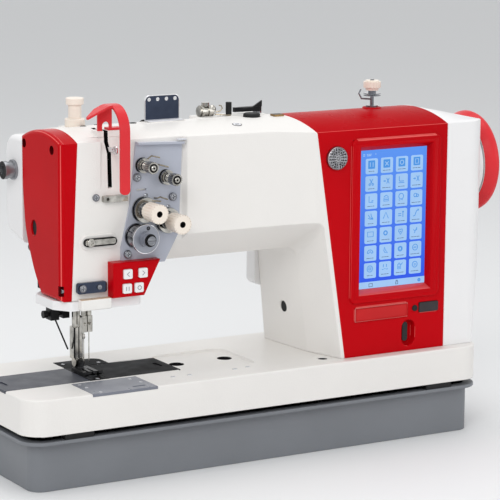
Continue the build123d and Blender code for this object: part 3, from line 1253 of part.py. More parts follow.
def make_end_cover():
    """White cover over the motor with a round collar."""
    body = cover_shape(0)
    collar_left = COVER_RIGHT - COVER_WALL
    body += rod((collar_left, 0, SHAFT_Z), RIGHT, COLLAR_RADIUS, COLLAR_RIGHT - collar_left)
    body -= cover_shape(COVER_WALL)
    body -= rod((PILLAR_RIGHT, 0, SHAFT_Z), RIGHT, COLLAR_BORE, COLLAR_RIGHT - PILLAR_RIGHT + CUT_OVERRUN)
    return body


def make_rear_cover():
    """White box on the back of the pillar with vents."""
    body = span_box(REAR_COVER_X, REAR_COVER_Y, REAR_COVER_Z)
    body = fillet(body.edges().filter_by(Axis.Y) + body.faces().sort_by(Axis.Y)[-1].edges(), REAR_COVER_ROUND)
    middle = (REAR_COVER_X[0] + REAR_COVER_X[1]) / 2
    length, height = REAR_COVER_VENT
    for z in REAR_COVER_VENT_ZS:
        body -= span_box((middle - length / 2, middle + length / 2),
                         (REAR_COVER_Y[1] - REAR_COVER_VENT_DEPTH, REAR_COVER_Y[1] + CUT_OVERRUN),
                         (z, z + height))
    return body


def make_actuator_cover():
    """White rounded cover behind the nose."""
    outline = Polygon(*ACTUATOR_OUTLINE, align=None)
    rear = outline.vertices().sort_by(Axis.X)[-2:]
    outline = fillet(rear, ACTUATOR_CORNER)
    body = extrude(Plane.YZ.offset(ACTUATOR_X[0]) * outline, ACTUATOR_X[1] - ACTUATOR_X[0], dir=RIGHT)
    ends = body.faces().sort_by(Axis.X)
    return fillet(ends[0].edges().filter_by(lambda edge: edge.center().Y > ACTUATOR_OUTLINE[0][0] + RUN_GAP)
                  + ends[-1].edges().filter_by(
                      lambda edge: edge.center().Y > ACTUATOR_OUTLINE[0][0] + RUN_GAP),
                  ACTUATOR_ROUND)


def make_actuator_stop():
    """Stepped chrome stop on the left of the actuator cover."""
    y, z = STOP_AT
    body = turned((ACTUATOR_X[0], y, z), LEFT, STOP_STEPS)
    end = ACTUATOR_X[0] - stack_length(STOP_STEPS)
    return body - rod((end - CUT_OVERRUN, y, z), RIGHT, STOP_BORE, STOP_BORE_DEPTH + CUT_OVERRUN)


def make_main_shaft():
    """Main shaft with crank, rotor and upper belt pulley."""
    body = rod((SHAFT_X[0], 0, SHAFT_Z), RIGHT, SHAFT_RADIUS, SHAFT_X[1] - SHAFT_X[0])
    body += rod((CRANK_X[0], 0, SHAFT_Z), RIGHT, CRANK_RADIUS, CRANK_X[1] - CRANK_X[0])
    body += rod((ROTOR_X[0], 0, SHAFT_Z), RIGHT, ROTOR_RADIUS, ROTOR_X[1] - ROTOR_X[0])
    return body + make_pulley(0, SHAFT_Z)


def make_pulley(y, z):
    """Flanged belt pulley on a shaft along X."""
    body = rod((PULLEY_X[0], y, z), RIGHT, PULLEY_RADIUS, PULLEY_X[1] - PULLEY_X[0])
    rim = PULLEY_RADIUS + PULLEY_FLANGE_RISE
    for x in (PULLEY_X[0], PULLEY_X[1] - PULLEY_FLANGE):
        body += rod((x, y, z), RIGHT, rim, PULLEY_FLANGE)
    return body


def make_handwheel():
    """Red handwheel turned about the shaft axis."""
    points = [(x, radius) for x, radius in WHEEL_PROFILE]
    profile = Plane.XZ * Polygon(*points, align=None)
    return Pos(0, 0, SHAFT_Z) * revolve(profile, Axis.X)


def make_motor():
    """Motor stator around the rotor."""
    body = rod((MOTOR_X[0], 0, SHAFT_Z), RIGHT, MOTOR_RADIUS, MOTOR_X[1] - MOTOR_X[0])
    body -= rod((MOTOR_X[0] - CUT_OVERRUN, 0, SHAFT_Z), RIGHT, MOTOR_BORE,
                MOTOR_X[1] - MOTOR_X[0] + 2 * CUT_OVERRUN)
    return notched(body, (MOTOR_X[0] + CUT_OVERRUN, 0, SHAFT_Z), RIGHT, MOTOR_RADIUS, MOTOR_X[1] - MOTOR_X[0],
                   MOTOR_FIN_COUNT, MOTOR_FIN)


def belt_loop(radius):
    """Hull of two circles around the belt pulleys."""
    upper = Pos(0, SHAFT_Z) * Circle(radius)
    lower = Pos(LOWER_SHAFT_Y, LOWER_SHAFT_Z) * Circle(radius)
    return make_hull(upper.edges() + lower.edges())


def make_belt():
    """Timing belt between main shaft and lower shaft."""
    inner = PULLEY_RADIUS + SLIP_GAP
    loop = belt_loop(inner + BELT_THICK) - belt_loop(inner)
    return extrude(Plane.YZ.offset(BELT_X[0]) * loop, BELT_X[1] - BELT_X[0], dir=RIGHT)


def make_lower_shaft():
    """Lower shaft with pulley and two drive gears."""
    x, y, z = LOWER_SHAFT_X[0], LOWER_SHAFT_Y, LOWER_SHAFT_Z
    body = rod((x, y, z), RIGHT, LOWER_SHAFT_RADIUS, LOWER_SHAFT_X[1] - x)
    body += make_pulley(y, z)
    for side in (-1, 1):
        start = side * HOOK_X - DRIVE_GEAR_WIDTH / 2
        gear = rod((start, y, z), RIGHT, DRIVE_GEAR_RADIUS, DRIVE_GEAR_WIDTH)
        body += notched(gear, (start, y, z), RIGHT, DRIVE_GEAR_RADIUS, DRIVE_GEAR_WIDTH, DRIVE_TOOTH_COUNT,
                        GEAR_TOOTH)
    return body


def make_hook(side):
    """Rotary hook cup on its vertical shaft with gear."""
    x, y = side * HOOK_X, HOOK_Y
    low, high = HOOK_Z
    body = rod((x, y, low), UP, HOOK_RADIUS, high - low)
    body -= rod((x, y, low + HOOK_FLOOR), UP, HOOK_BORE, high - low)
    notch_width, notch_depth = HOOK_NOTCH
    body -= span_box((x - notch_width / 2, x + notch_width / 2), (y, y + 2 * HOOK_RADIUS),
                     (high - notch_depth, high + CUT_OVERRUN))
    body += rod((x, y, HOOK_SHAFT_LOW), UP, HOOK_SHAFT_RADIUS, low - HOOK_SHAFT_LOW)
    gear_low = LOWER_SHAFT_Z - HOOK_GEAR_HEIGHT / 2
    gear = rod((x, y, gear_low), UP, HOOK_GEAR_RADIUS, HOOK_GEAR_HEIGHT)
    return body + notched(gear, (x, y, gear_low), UP, HOOK_GEAR_RADIUS, HOOK_GEAR_HEIGHT,
                          GEAR_TOOTH_COUNT, GEAR_TOOTH)


def make_bobbin_cases():
    """Two bobbin cases held by arms from the front of the hook opening."""
    cases = []
    for side in (-1, 1):
        x, y = side * HOOK_X, HOOK_Y
        low, high = CASE_Z
        body = rod((x, y, low), UP, CASE_RADIUS, high - low)
        body -= rod((x, y, low + CASE_FLOOR), UP, CASE_BORE, high - low)
        arm = span_box((x - CASE_ARM_HALF, x + CASE_ARM_HALF), CASE_ARM_Y, (high - CASE_ARM_THICK, high))
        body += arm - rod((x, y, low), UP, CASE_BORE, 2 * (high - low))
        body += span_box((x - CASE_ARM_HALF, x + CASE_ARM_HALF), (CASE_ARM_Y[0], CASE_FOOT_Y[1]),
                         (CASE_FOOT_Z[0], high))
        body += span_box((x - CASE_ARM_HALF, x + CASE_ARM_HALF), CASE_FOOT_Y, CASE_FOOT_Z)
        cases.append(body)
    return Compound(children=cases)


def make_bobbin(side):
    """Flanged bobbin."""
    x, y = side * HOOK_X, HOOK_Y
    low, high = BOBBIN_Z
    body = rod((x, y, low), UP, BOBBIN_HUB, high - low)
    for z in (low, high - BOBBIN_FLANGE):
        body += rod((x, y, z), UP, BOBBIN_RADIUS, BOBBIN_FLANGE)
    return body - rod((x, y, low - CUT_OVERRUN), UP, BOBBIN_BORE, high - low + 2 * CUT_OVERRUN)


def make_saddles():
    """Two brackets that carry the hook shafts and the lower shaft."""
    saddles = []
    for side in (-1, 1):
        x_span = tuple(sorted((side * SADDLE_X[0], side * SADDLE_X[1])))
        body = span_box(x_span, (-SADDLE_HALF_Y, SADDLE_HALF_Y), SADDLE_Z)
        for end in (-1, 1):
            y_span = tuple(sorted((end * SADDLE_HALF_Y, end * (SADDLE_HALF_Y - SADDLE_POST))))
            body += span_box(x_span, y_span, (SADDLE_Z[0], -BED_SKIN))
        side_span = tuple(sorted((side * SADDLE_X[1], side * (SADDLE_X[1] - SADDLE_SIDE))))
        body += span_box(side_span, SADDLE_SIDE_Y, (SADDLE_LOW, SADDLE_Z[1]))
        body -= rod((side * HOOK_X, HOOK_Y, SADDLE_Z[0] - CUT_OVERRUN), UP, HOOK_SHAFT_RADIUS + RUN_GAP,
                    SADDLE_Z[1] - SADDLE_Z[0] + 2 * CUT_OVERRUN)
        start = x_span[0] - CUT_OVERRUN
        body -= rod((start, LOWER_SHAFT_Y, LOWER_SHAFT_Z), RIGHT, LOWER_SHAFT_RADIUS + RUN_GAP,
                    x_span[1] - x_span[0] + 2 * CUT_OVERRUN)
        saddles.append(body)
    bridged = saddles[0] + saddles[1]
    for end in (-1, 1):
        y_span = tuple(sorted((end * SADDLE_HALF_Y, end * (SADDLE_HALF_Y - SADDLE_POST))))
        bridged += span_box((-SADDLE_X[0], SADDLE_X[0]), y_span, (SADDLE_Z[0], FEED_BAR_Z[0] - RUN_GAP))
    return bridged


def make_feed_bar():
    """Feed bar with stem and toothed feed dog."""
    body = span_box((-FEED_DOG_HALF, FEED_DOG_HALF), FEED_DOG_Y, FEED_DOG_Z)
    pitch = (FEED_DOG_Y[1] - FEED_DOG_Y[0]) / FEED_TOOTH_COUNT
    top = FEED_DOG_Z[1]
    for index in range(FEED_TOOTH_COUNT):
        y = FEED_DOG_Y[0] + pitch * index
        gap = ((y, top), (y + pitch, top), (y + pitch, top - FEED_TOOTH))
        body -= prism_x(gap, (-FEED_DOG_HALF - CUT_OVERRUN, FEED_DOG_HALF + CUT_OVERRUN))
    half_x, half_y = FEED_SLOT_HALF
    for side in (-1, 1):
        x = side * NEEDLE_GAUGE / 2
        body -= span_box((x - half_x, x + half_x), (-half_y, half_y),
                         (FEED_DOG_Z[0] - CUT_OVERRUN, top + CUT_OVERRUN))
    stem = (-FEED_STEM_HALF, FEED_STEM_HALF)
    body += span_box(stem, FEED_STEM_Y, (FEED_BAR_Z[0], FEED_DOG_Z[0] + PLATE_THICK - SLOT_WIDTH))
    body += span_box((-FEED_BAR_HALF, FEED_BAR_HALF), FEED_BAR_Y, FEED_BAR_Z)
    return body


def make_needle_bar(side):
    """Needle bar with clamp, set screw and needle."""
    x = side * NEEDLE_GAUGE / 2
    low, high = CLAMP_Z
    half_x, half_y = CLAMP_HALF
    clamp = span_box((x - half_x, x + half_x), (-half_y, half_y), CLAMP_Z)
    clamp = chamfer(clamp.edges().filter_by(Axis.Z), CLAMP_CHAMFER)
    radius, length = CLAMP_SCREW
    clamp += rod((x, -half_y, (low + high) / 2), FRONT, radius, length)
    body = clamp + rod((x, 0, high), UP, BAR_RADIUS, BAR_TOP - high)
    shank = NEEDLE_LOW + NEEDLE_POINT
    body += rod((x, 0, low), DOWN, NEEDLE_RADIUS, low - shank)
    point = Cone(NEEDLE_RADIUS / 4, NEEDLE_RADIUS, NEEDLE_POINT, align=UPRIGHT)
    return body + Pos(x, 0, NEEDLE_LOW) * point


def make_nose_brackets():
    """Black needle bar block, wiper bracket, lifter pin and take-up pin."""
    y, z = TAKE_UP_PIVOT
    pin = rod((TAKE_UP_PIN_X[0], y, z), RIGHT, TAKE_UP_PIN, TAKE_UP_PIN_X[1] - TAKE_UP_PIN_X[0])
    return Compound(children=[make_bar_block(), make_wiper_bracket(), make_lifter_pin(), pin])


def make_bar_block():
    """Guide block of the needle bars under the nose."""
    body = span_box(BAR_BLOCK_X, BAR_BLOCK_Y, (BAR_BLOCK_Z[0], NOSE_BOTTOM))
    for side in (-1, 1):
        body -= rod((side * NEEDLE_GAUGE / 2, 0, BAR_BLOCK_Z[0] - CUT_OVERRUN), UP, BAR_RADIUS + RUN_GAP,
                    NOSE_BOTTOM - BAR_BLOCK_Z[0] + 2 * CUT_OVERRUN)
    return body


def make_presser_bar():
    """Presser bar with the chrome shank that carries the foot."""
    low, high = PRESSER_Z
    body = span_box(SHANK_X, SHANK_Y, SHANK_Z)
    body = chamfer(body.edges().filter_by(Axis.Z), SHANK_CHAMFER)
    width, depth = SHANK_GROOVE
    body -= span_box((-width / 2, width / 2), (SHANK_Y[0] - CUT_OVERRUN, SHANK_Y[0] + depth),
                     (SHANK_Z[0] - CUT_OVERRUN, SHANK_Z[1] + CUT_OVERRUN))
    body += rod((0, PRESSER_Y, low), UP, PRESSER_RADIUS, high - low)
    radius, length = SHANK_SCREW
    body += rod((SHANK_X[1], PRESSER_Y, SHANK_SCREW_Z), RIGHT, radius, length)
    y, z = FOOT_PIVOT
    for side in (-1, 1):
        x_span = tuple(sorted((side * SHANK_X[1], side * (FOOT_ANKLE_HALF + SLIP_GAP))))
        lug = rod((x_span[0], y, z), RIGHT, SHANK_FORK, x_span[1] - x_span[0])
        lug += span_box(x_span, (y - SHANK_FORK, y + SHANK_FORK), (z, SHANK_Z[0] + SLIP_GAP))
        body += lug
    return body


def make_presser_foot():
    """Hinged foot with two needle slots."""
    y, z = FOOT_PIVOT
    body = span_box((-FOOT_ANKLE_HALF, FOOT_ANKLE_HALF), FOOT_ANKLE_Y, FOOT_ANKLE_Z)
    body = fillet(body.edges().filter_by(Axis.X).group_by(Axis.Z)[-1], FOOT_PIVOT_RADIUS)
    sole = prism_x(FOOT_SOLE_PROFILE, (-FOOT_SOLE_HALF, FOOT_SOLE_HALF))
    body += sole
    low = FOOT_SOLE_PROFILE[1][1] - CUT_OVERRUN
    high = FOOT_SOLE_PROFILE[-1][1] + CUT_OVERRUN
    for side in (-1, 1):
        x = side * NEEDLE_GAUGE / 2
        body -= span_box((x - FOOT_SLOT_HALF, x + FOOT_SLOT_HALF), FOOT_SLOT_Y, (low, high))
    return body


def make_presser_regulator():
    """Cream regulator with lock ring and knob."""
    body = turned((0, PRESSER_Y, REGULATOR_PAD[2]), UP, REGULATOR_STEPS_UP)
    circles = body.edges().filter_by(GeomType.CIRCLE)
    rims = circles.filter_by(lambda edge: edge.radius > REGULATOR_STEPS_UP[1][0] + SLIP_GAP)
    return fillet(rims, REGULATOR_ROUND)


def make_hand_lifter():
    """Black hand lifter behind the nose."""
    x, z = LIFTER_PIVOT
    front, rear = LIFTER_Y
    body = rod((x, front, z), BACK, LIFTER_HUB, rear - front)
    body += span_box((x - LIFTER_LENGTH, x), LIFTER_Y, (z - LIFTER_WIDTH / 2, z + LIFTER_WIDTH / 2))
    grip = rod((x - LIFTER_LENGTH, front, z), BACK, LIFTER_WIDTH * 2 / 3, rear - front)
    body += grip
    return body - rod((x, front - CUT_OVERRUN, z), BACK, LIFTER_PIN + RUN_GAP, rear - front + 2 * CUT_OVERRUN)


def make_lifter_pin():
    """Pin of the hand lifter, set in the back of the nose."""
    x, z = LIFTER_PIVOT
    share = (z - NOSE_BOTTOM + CUT_OVERRUN) / (NOSE_TAPER_TOP - NOSE_BOTTOM + CUT_OVERRUN)
    start = NOSE_TAPER_REAR + share * (ARM_REAR - NOSE_TAPER_REAR)
    return rod((x, start - PLATE_THICK, z), BACK, LIFTER_PIN, LIFTER_Y[1] - start + PLATE_THICK)


def make_wiper():
    """Wiper block and wire on its cross rod."""
    y, z = WIPER_AXIS
    body = rod((WIPER_ROD_X[0], y, z), RIGHT, WIPER_ROD_RADIUS, WIPER_LUG_X[1] - WIPER_ROD_X[0] + SLIP_GAP)
    half = WIPER_BLOCK_HALF
    body += span_box(WIPER_BLOCK_X, (y - half, y + half), (z - half, z + half))
    radius, length = WIPER_KNOB
    body += rod((WIPER_ROD_X[0], y, z), RIGHT, radius, length)
    start = Vector((WIPER_BLOCK_X[0] + WIPER_BLOCK_X[1]) / 2, y, z)
    reach = Vector(*WIPER_WIRE_END) - start
    return body + rod(start, tuple(reach.normalized()), WIPER_WIRE, reach.length)


def make_wiper_bracket():
    """Black bracket that carries the wiper rod."""
    y, z = WIPER_AXIS
    half = WIPER_LUG_HALF
    body = span_box(WIPER_LUG_X, (y - half, y + half), (z - half, NOSE_PLATE_Z[0]))
    return body - rod((WIPER_LUG_X[0] - CUT_OVERRUN, y, z), RIGHT, WIPER_ROD_RADIUS + RUN_GAP,
                      WIPER_LUG_X[1] - WIPER_LUG_X[0] + 2 * CUT_OVERRUN)


def make_guide_plate():
    """Upright guide plate with four eyes and a folded foot."""
    seat = GUIDE_PAD[2]
    face = front_rectangle(GUIDE_PLATE_X, (seat - GUIDE_PLATE_CORNER, GUIDE_PLATE_TOP), GUIDE_PLATE_CORNER,
                           GUIDE_PLATE_Y)
    body = extrude(face, GUIDE_PLATE_SHEET, dir=FRONT)
    body -= span_box((GUIDE_PLATE_X[0] - CUT_OVERRUN, GUIDE_PLATE_X[1] + CUT_OVERRUN),
                     (GUIDE_PLATE_Y - PAD_DEPTH, GUIDE_PLATE_Y + PAD_DEPTH), (seat - PAD_DEPTH, seat))
    front = GUIDE_PLATE_Y - GUIDE_PLATE_SHEET
    body += span_box(GUIDE_PLATE_X, (front - GUIDE_PLATE_FOOT, GUIDE_PLATE_Y),
                     (seat, seat + GUIDE_PLATE_SHEET))
    pitch = (GUIDE_PLATE_X[1] - GUIDE_PLATE_X[0]) / GUIDE_PLATE_EYE_COUNT
    for index in range(GUIDE_PLATE_EYE_COUNT):
        x = GUIDE_PLATE_X[0] + pitch * (index + TAPER_SHARE)
        body -= rod((x, GUIDE_PLATE_Y + CUT_OVERRUN, GUIDE_PLATE_TOP - GUIDE_PLATE_EYE_DROP), FRONT,
                    GUIDE_PLATE_EYE,
                    2 * CUT_OVERRUN + GUIDE_PLATE_SHEET)
    return body


def make_winder():
    """Bobbin winder body, spindle pin, pivot and thread cutter on the arm."""
    seat = WINDER_PAD[2]
    y = WINDER_BODY_Y
    z = seat + WINDER_BODY_RADIUS
    body = rod((WINDER_BODY_X[0], y, z), RIGHT, WINDER_BODY_RADIUS, WINDER_BODY_X[1] - WINDER_BODY_X[0])
    radius, width = WINDER_COLLAR
    for x in WINDER_COLLAR_XS:
        body += rod((x, y, z), RIGHT, radius, width)
    middle = (WINDER_BODY_X[0] + WINDER_BODY_X[1]) / 2
    body -= span_box((WINDER_BODY_X[0] - CUT_OVERRUN, WINDER_BODY_X[1] + CUT_OVERRUN),
                     (y - PAD_DEPTH, y + PAD_DEPTH),
                     (seat - PAD_DEPTH, seat))
    body += rod((middle, y, seat), UP, WINDER_STEM_RADIUS, WINDER_STEM_TOP - seat)
    radius, height = WINDER_CAP
    body += rod((middle, y, WINDER_STEM_TOP - height), UP, radius, height)
    x, y = WINDER_PIN_AT
    radius, height = WINDER_PIN
    pin = rod((x, y, seat), UP, radius, height)
    x, y = WINDER_LEVER_PIVOT
    pivot = rod((x, y, seat), UP, WINDER_PIVOT_PIN, WINDER_LEVER_Z[1] - seat)
    pivot += rod((x, y, seat), UP, WINDER_LEVER_HUB, WINDER_LEVER_Z[0] - SLIP_GAP - seat)
    return Compound(children=[body, pin, pivot, make_cutter(), make_winder_post()])


def make_winder_lever():
    """Black trip lever of the bobbin winder."""
    x, y = WINDER_LEVER_PIVOT
    low, high = WINDER_LEVER_Z
    points = [(x + dx, y + dy) for dx, dy in WINDER_LEVER_PROFILE]
    body = prism_z(Polygon(*points, align=None), WINDER_LEVER_Z)
    body += rod((x, y, low), UP, WINDER_LEVER_HUB, high - low)
    (fin_left, fin_right), rise, thick = WINDER_LEVER_FIN
    fin = ((x + fin_left, high), (x + fin_right, high), (x + fin_right, high + rise))
    body += prism_y(fin, (y - thick / 2 - WINDER_LEVER_HUB + thick, y + thick / 2 - WINDER_LEVER_HUB + thick))
    return body - rod((x, y, low - CUT_OVERRUN), UP, WINDER_PIVOT_PIN + RUN_GAP, high - low + 2 * CUT_OVERRUN)


def make_winder_post():
    """Bobbin thread tension post with discs and a wire guide."""
    x, y = POST_AT
    seat = POST_PAD[1]
    body = turned((x, y, seat), UP, POST_DISC_STEPS)
    body += rod((x, y, seat), UP, POST_RADIUS, POST_TOP - seat + PAD_DEPTH / 2)
    points = [(x + dx, y + dy, z) for dx, dy, z in POST_HOOK]
    for start, end in zip(points[:-1], points[1:]):
        reach = Vector(*end) - Vector(*start)
        body += rod(start, tuple(reach.normalized()), POST_HOOK_WIRE, reach.length)
        body += Pos(*end) * Sphere(POST_HOOK_WIRE)
    return body


def make_winder_knob():
    """Cream knob of the bobbin thread tension."""
    x, y = POST_AT
    start = POST_PAD[1] + stack_length(POST_DISC_STEPS) + SLIP_GAP
    body = turned((x, y, start), UP, POST_KNOB_STEPS)
    body -= rod((x, y, start - CUT_OVERRUN), UP, POST_RADIUS + RUN_GAP,
                CUT_OVERRUN + POST_TOP - start + PAD_DEPTH * 2 / 3)
    radius = max(radius for radius, _ in POST_KNOB_STEPS)
    return notched(body, (x, y, start - CUT_OVERRUN), UP, radius,
                   stack_length(POST_KNOB_STEPS) + 2 * CUT_OVERRUN,
                   KNOB_NOTCH_COUNT, KNOB_NOTCH)


def save(name, shape):
    """Raise a piece onto the base and write it."""
    export_step(Pos(0, 0, BED_HEIGHT) * shape, "parts/" + name + ".step")


head_blank = make_head_blank()
housing_shell = housing_wedge(head_blank)

save("oil_pan", make_oil_pan())
save("pan_cushions", make_cushions())
save("bed", make_bed())
save("screws", make_screws())
save("slide_left", make_slide((BED_LEFT, -NEEDLE_PLATE_HALF_X), BED_LEFT + SLIDE_FINGER_INSET))
save("slide_right",
     make_slide((NEEDLE_PLATE_HALF_X, RIGHT_SLIDE_END - PLATE_GAP), RIGHT_SLIDE_END - SLIDE_FINGER_INSET))
save("needle_plate", make_needle_plate())
save("rear_plate", make_rear_plate())
save("front_plate", make_front_plate())
save("arm", make_arm(head_blank, housing_shell))
save("face_plate", make_face_plate())
save("rubber_plugs", make_rubber_plugs())
save("nose_plate", make_nose_plate())
save("work_lamp", make_lamp())
save("guide_bar", make_guide_bar())
save("tension_plate", make_tension_plate())
save("tension_discs", make_tension_discs())
save("tension_nut_left", make_nut(MAIN_TENSIONS[0], MAIN_DISC_STEPS, MAIN_SPRING, MAIN_NUT, MAIN_NUT_MOUTH))
save("tension_nut_right", make_nut(MAIN_TENSIONS[1], MAIN_DISC_STEPS, MAIN_SPRING, MAIN_NUT, MAIN_NUT_MOUTH))
save("take_up_spring", make_take_up_spring())
save("thread_guides", make_thread_guides())
save("take_up_lever", make_take_up_lever())
save("take_up_guard", make_take_up_guard())
save("key_box", make_key_box())
for key_name, key_spot in zip(KEY_NAMES, KEY_SPOTS):
    save(key_name, make_key(key_spot))
save("panel_housing", make_panel_housing(housing_shell))
save("display", make_display())
save("speaker_grille", make_speaker())
save("oil_sight", make_sight())
save("port_cover", make_port_cover())
save("end_cover", make_end_cover())
save("rear_cover", make_rear_cover())
save("actuator_cover", make_actuator_cover())
save("actuator_stop", make_actuator_stop())
save("drive_motor", make_motor())
save("main_shaft", make_main_shaft())
save("handwheel", make_handwheel())
save("timing_belt", make_belt())
save("lower_shaft", make_lower_shaft())
save("hook_left", make_hook(-1))
save("hook_right", make_hook(1))
save("hook_saddles", make_saddles())
save("bobbin_cases", make_bobbin_cases())
save("bobbins", Compound(children=[make_bobbin(-1), make_bobbin(1)]))
save("feed_bar", make_feed_bar())
save("nose_brackets", make_nose_brackets())
save("needle_bar_left", make_needle_bar(-1))
save("needle_bar_right", make_needle_bar(1))
save("presser_bar", make_presser_bar())
save("presser_foot", make_presser_foot())
save("presser_regulator", make_presser_regulator())
save("hand_lifter", make_hand_lifter())
save("wiper", make_wiper())
save("guide_plate", make_guide_plate())
save("bobbin_winder", make_winder())
save("winder_lever", make_winder_lever())
save("winder_knob", make_winder_knob())
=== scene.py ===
"""Finishes, small details, light and camera for a double needle lockstitch machine head."""

import json
import math

import bpy
from mathutils import Matrix, Vector

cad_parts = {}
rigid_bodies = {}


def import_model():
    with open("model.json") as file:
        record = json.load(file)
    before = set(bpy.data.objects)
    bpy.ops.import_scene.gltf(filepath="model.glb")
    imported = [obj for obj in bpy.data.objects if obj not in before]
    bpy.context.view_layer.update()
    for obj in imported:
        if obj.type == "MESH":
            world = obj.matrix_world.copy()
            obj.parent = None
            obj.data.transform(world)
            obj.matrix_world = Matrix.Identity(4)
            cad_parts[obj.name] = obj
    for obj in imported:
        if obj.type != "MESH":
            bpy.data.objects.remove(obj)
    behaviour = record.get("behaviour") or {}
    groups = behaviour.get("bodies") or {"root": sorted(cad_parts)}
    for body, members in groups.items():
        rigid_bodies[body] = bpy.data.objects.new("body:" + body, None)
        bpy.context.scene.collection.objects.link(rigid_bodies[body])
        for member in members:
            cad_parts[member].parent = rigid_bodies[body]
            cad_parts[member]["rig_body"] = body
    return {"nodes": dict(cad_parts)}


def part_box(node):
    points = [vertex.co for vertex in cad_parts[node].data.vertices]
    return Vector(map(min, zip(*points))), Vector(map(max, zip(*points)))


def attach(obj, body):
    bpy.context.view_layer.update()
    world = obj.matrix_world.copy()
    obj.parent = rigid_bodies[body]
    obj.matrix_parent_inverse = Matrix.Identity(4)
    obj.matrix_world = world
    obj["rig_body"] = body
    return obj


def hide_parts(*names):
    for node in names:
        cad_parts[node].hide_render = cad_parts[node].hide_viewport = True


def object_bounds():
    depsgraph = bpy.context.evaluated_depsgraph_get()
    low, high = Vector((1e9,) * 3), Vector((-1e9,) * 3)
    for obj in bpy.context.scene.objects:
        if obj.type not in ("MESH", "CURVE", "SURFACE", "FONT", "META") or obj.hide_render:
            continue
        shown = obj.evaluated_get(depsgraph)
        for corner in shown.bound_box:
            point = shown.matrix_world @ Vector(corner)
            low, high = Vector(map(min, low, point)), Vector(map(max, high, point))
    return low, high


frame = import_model()
CAD_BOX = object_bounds()

bl_info = {
    "name": "Double needle lockstitch machine",
    "version": (1, 0, 0),
    "blender": (4, 5, 0),
    "location": "View3D > Sidebar > Machine",
    "description": "Dresses the packed machine head with its finishes, screen picture and small parts",
    "category": "Object",
}

MILLIMETRE = 0.001
BED_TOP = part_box("bed")[1].z
UP = Vector((0.0, 0.0, 1.0))
FORWARD = (0, -1, 0)
BACKWARD = (0, 1, 0)

# Lens of the camera
IMAGE_WIDTH = 500.0
FOCAL_PIXELS = 2410.0
SENSOR_WIDTH = 36.0
CLIP_END = 200.0

# How meshes are merged and rounded, in metres and radians
MERGE_DISTANCE = 0.000004
FRAME_MERGE_DISTANCE = 0.00001
WIDE_EDGE = 0.0006
FLAT_ANGLE = math.radians(0.4)
NODE_ANGLE = math.radians(38.0)
BLOCK_ANGLE = math.radians(50.0)
FRAME_ANGLE = math.radians(30.0)
CORNER_SEGMENTS = 5
PARALLEL_SHARE = 0.9
NORMAL_WEIGHT = 60
HOOP_SEGMENTS = 40
HOOP_SIDES = 8

# Limits of the faces that take a second finish, in millimetres over the bed's top
FAR = 1000.0
BED_MIDDLE = 178.0
BED_HOLES = ((114.0, 3.0, 8.0), (175.6, 3.0, 8.0), (266.0, -62.0, 5.5))
BED_HOLE_MARGIN = 0.3
BED_HOLE_TOP = -0.8
BED_CAVITY_HALF = (288.0, 87.0)
BED_CAVITY_TOP = -8.5
BED_CORNER_FROM = (258.0, 60.0)
LEVER_SLOT = ((3.9, 8.9), (-46.0, -4.5), (210.0, FAR))
LEVER_RECESS_REAR = -30.0
ARM_CAVITIES = (
    ((-60.0, 26.3), (-37.3, 33.3), (103.7, 240.3)),
    ((37.7, 388.3), (-36.3, 42.3), (147.7, 240.3)),
    ((305.7, 388.3), (-44.3, 48.3), (-FAR, 240.3)),
)
FACE_PITS = ((-26.5, 253.0), (41.5, 252.5))
FACE_PIT_REACH = 5.2
FACE_PIT_FRONT = -52.8
LOW_FACE_PIT = ((-52.6, -40.0), (-50.0, -34.0), (97.5, 110.5))
ROOF_FROM = 255.0
STOP_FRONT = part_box("actuator_stop")[0].x / MILLIMETRE + 0.4
PAN_FLOOR_TOP = -60.0
FACE_SCREWS_FROM = (-45.0, 245.0)
BED_SCREW_TOP = 6.0
PLATE_TOP_FROM = 240.0
DISC_STEP = 1.5
NUT_BORE_REACH = 3.6
REGULATOR_DISC = (-81.4, -68.2)
REGULATOR_DISC_REACH = 14.8
REGULATOR_RING = (-81.8, -81.2)
PRESSER_SHADE = (12.0, 46.0)
SHAFT_HEIGHT = 201.0
WHEEL_FACE_RADIUS = 51.0
GUIDE_FOOT_TOP = 273.6
WINDER_TENSION = (148.0, 170.0)
WINDER_TYRE = (184.0, 217.0)
CUTTER = (225.0, 245.0)
CUTTER_TOP = (228.0, 242.0)
CUTTER_REAR = -2.0

# Places of the small pieces, in millimetres over the bed's top, profiles of radius and height, and wires.
# A thickness that is multiplied by MILLIMETRE is in metres.
SPEAKER_CENTRE = (272.5, -75.0, 229.0)
# The black sheet in the thread slot is painted shade.
SLOT_SHADE_SHEET = ((-27.5, -49.3, 150.6), (11.0, -48.6, 159.4))
NAME_SHEET = ((300.2, -76.3, 41.2), (369.8, -75.8, 55.8))
NAME_CORNERS = ((299.8, -76.0, 40.8), (370.2, -76.0, 40.8), (370.2, -76.0, 56.2), (299.8, -76.0, 56.2))
NAME_WIRE = 0.45 * MILLIMETRE
GUIDE_EYE_XS = (81.9, 92.6, 103.4, 114.1)
GUIDE_EYE_DEPTH = 8.3
GUIDE_EYE_HEIGHT = 295.5
GUIDE_EYE_RADIUS = 1.8
GUIDE_EYE_WIRE = 0.35
NUT_LEFT = (45.0, 185.4)
NUT_RIGHT = (73.0, 172.0)
PRE_SPOTS = ((43.0, 233.6), (71.4, 219.0))
# The black rings in the mouths of the small nuts are painted shade.
NUT_SHADE_RING_DEPTH = -73.6
NUT_SHADE_RING = ((4.8, 0.0), (4.8, 1.3), (4.4, 1.6), (3.5, 1.6), (3.3, 1.3), (3.3, 0.2))
STUD_END_DEPTH = -75.0
STUD_END = ((2.9, 0.0), (2.9, 0.9), (2.5, 1.3), (1.2, 1.3), (1.0, 0.9))
REGULATOR_SPOT = (36.0, 157.5)
REGULATOR_TURNS = 7
COIL_START = -53.0
COIL_STEP = 2.1
COIL_RADIUS = 12.0
COIL_WIRE = 0.9
# The regulator's bright rim is a painted highlight.
REGULATOR_RIM_DEPTH = -71.5
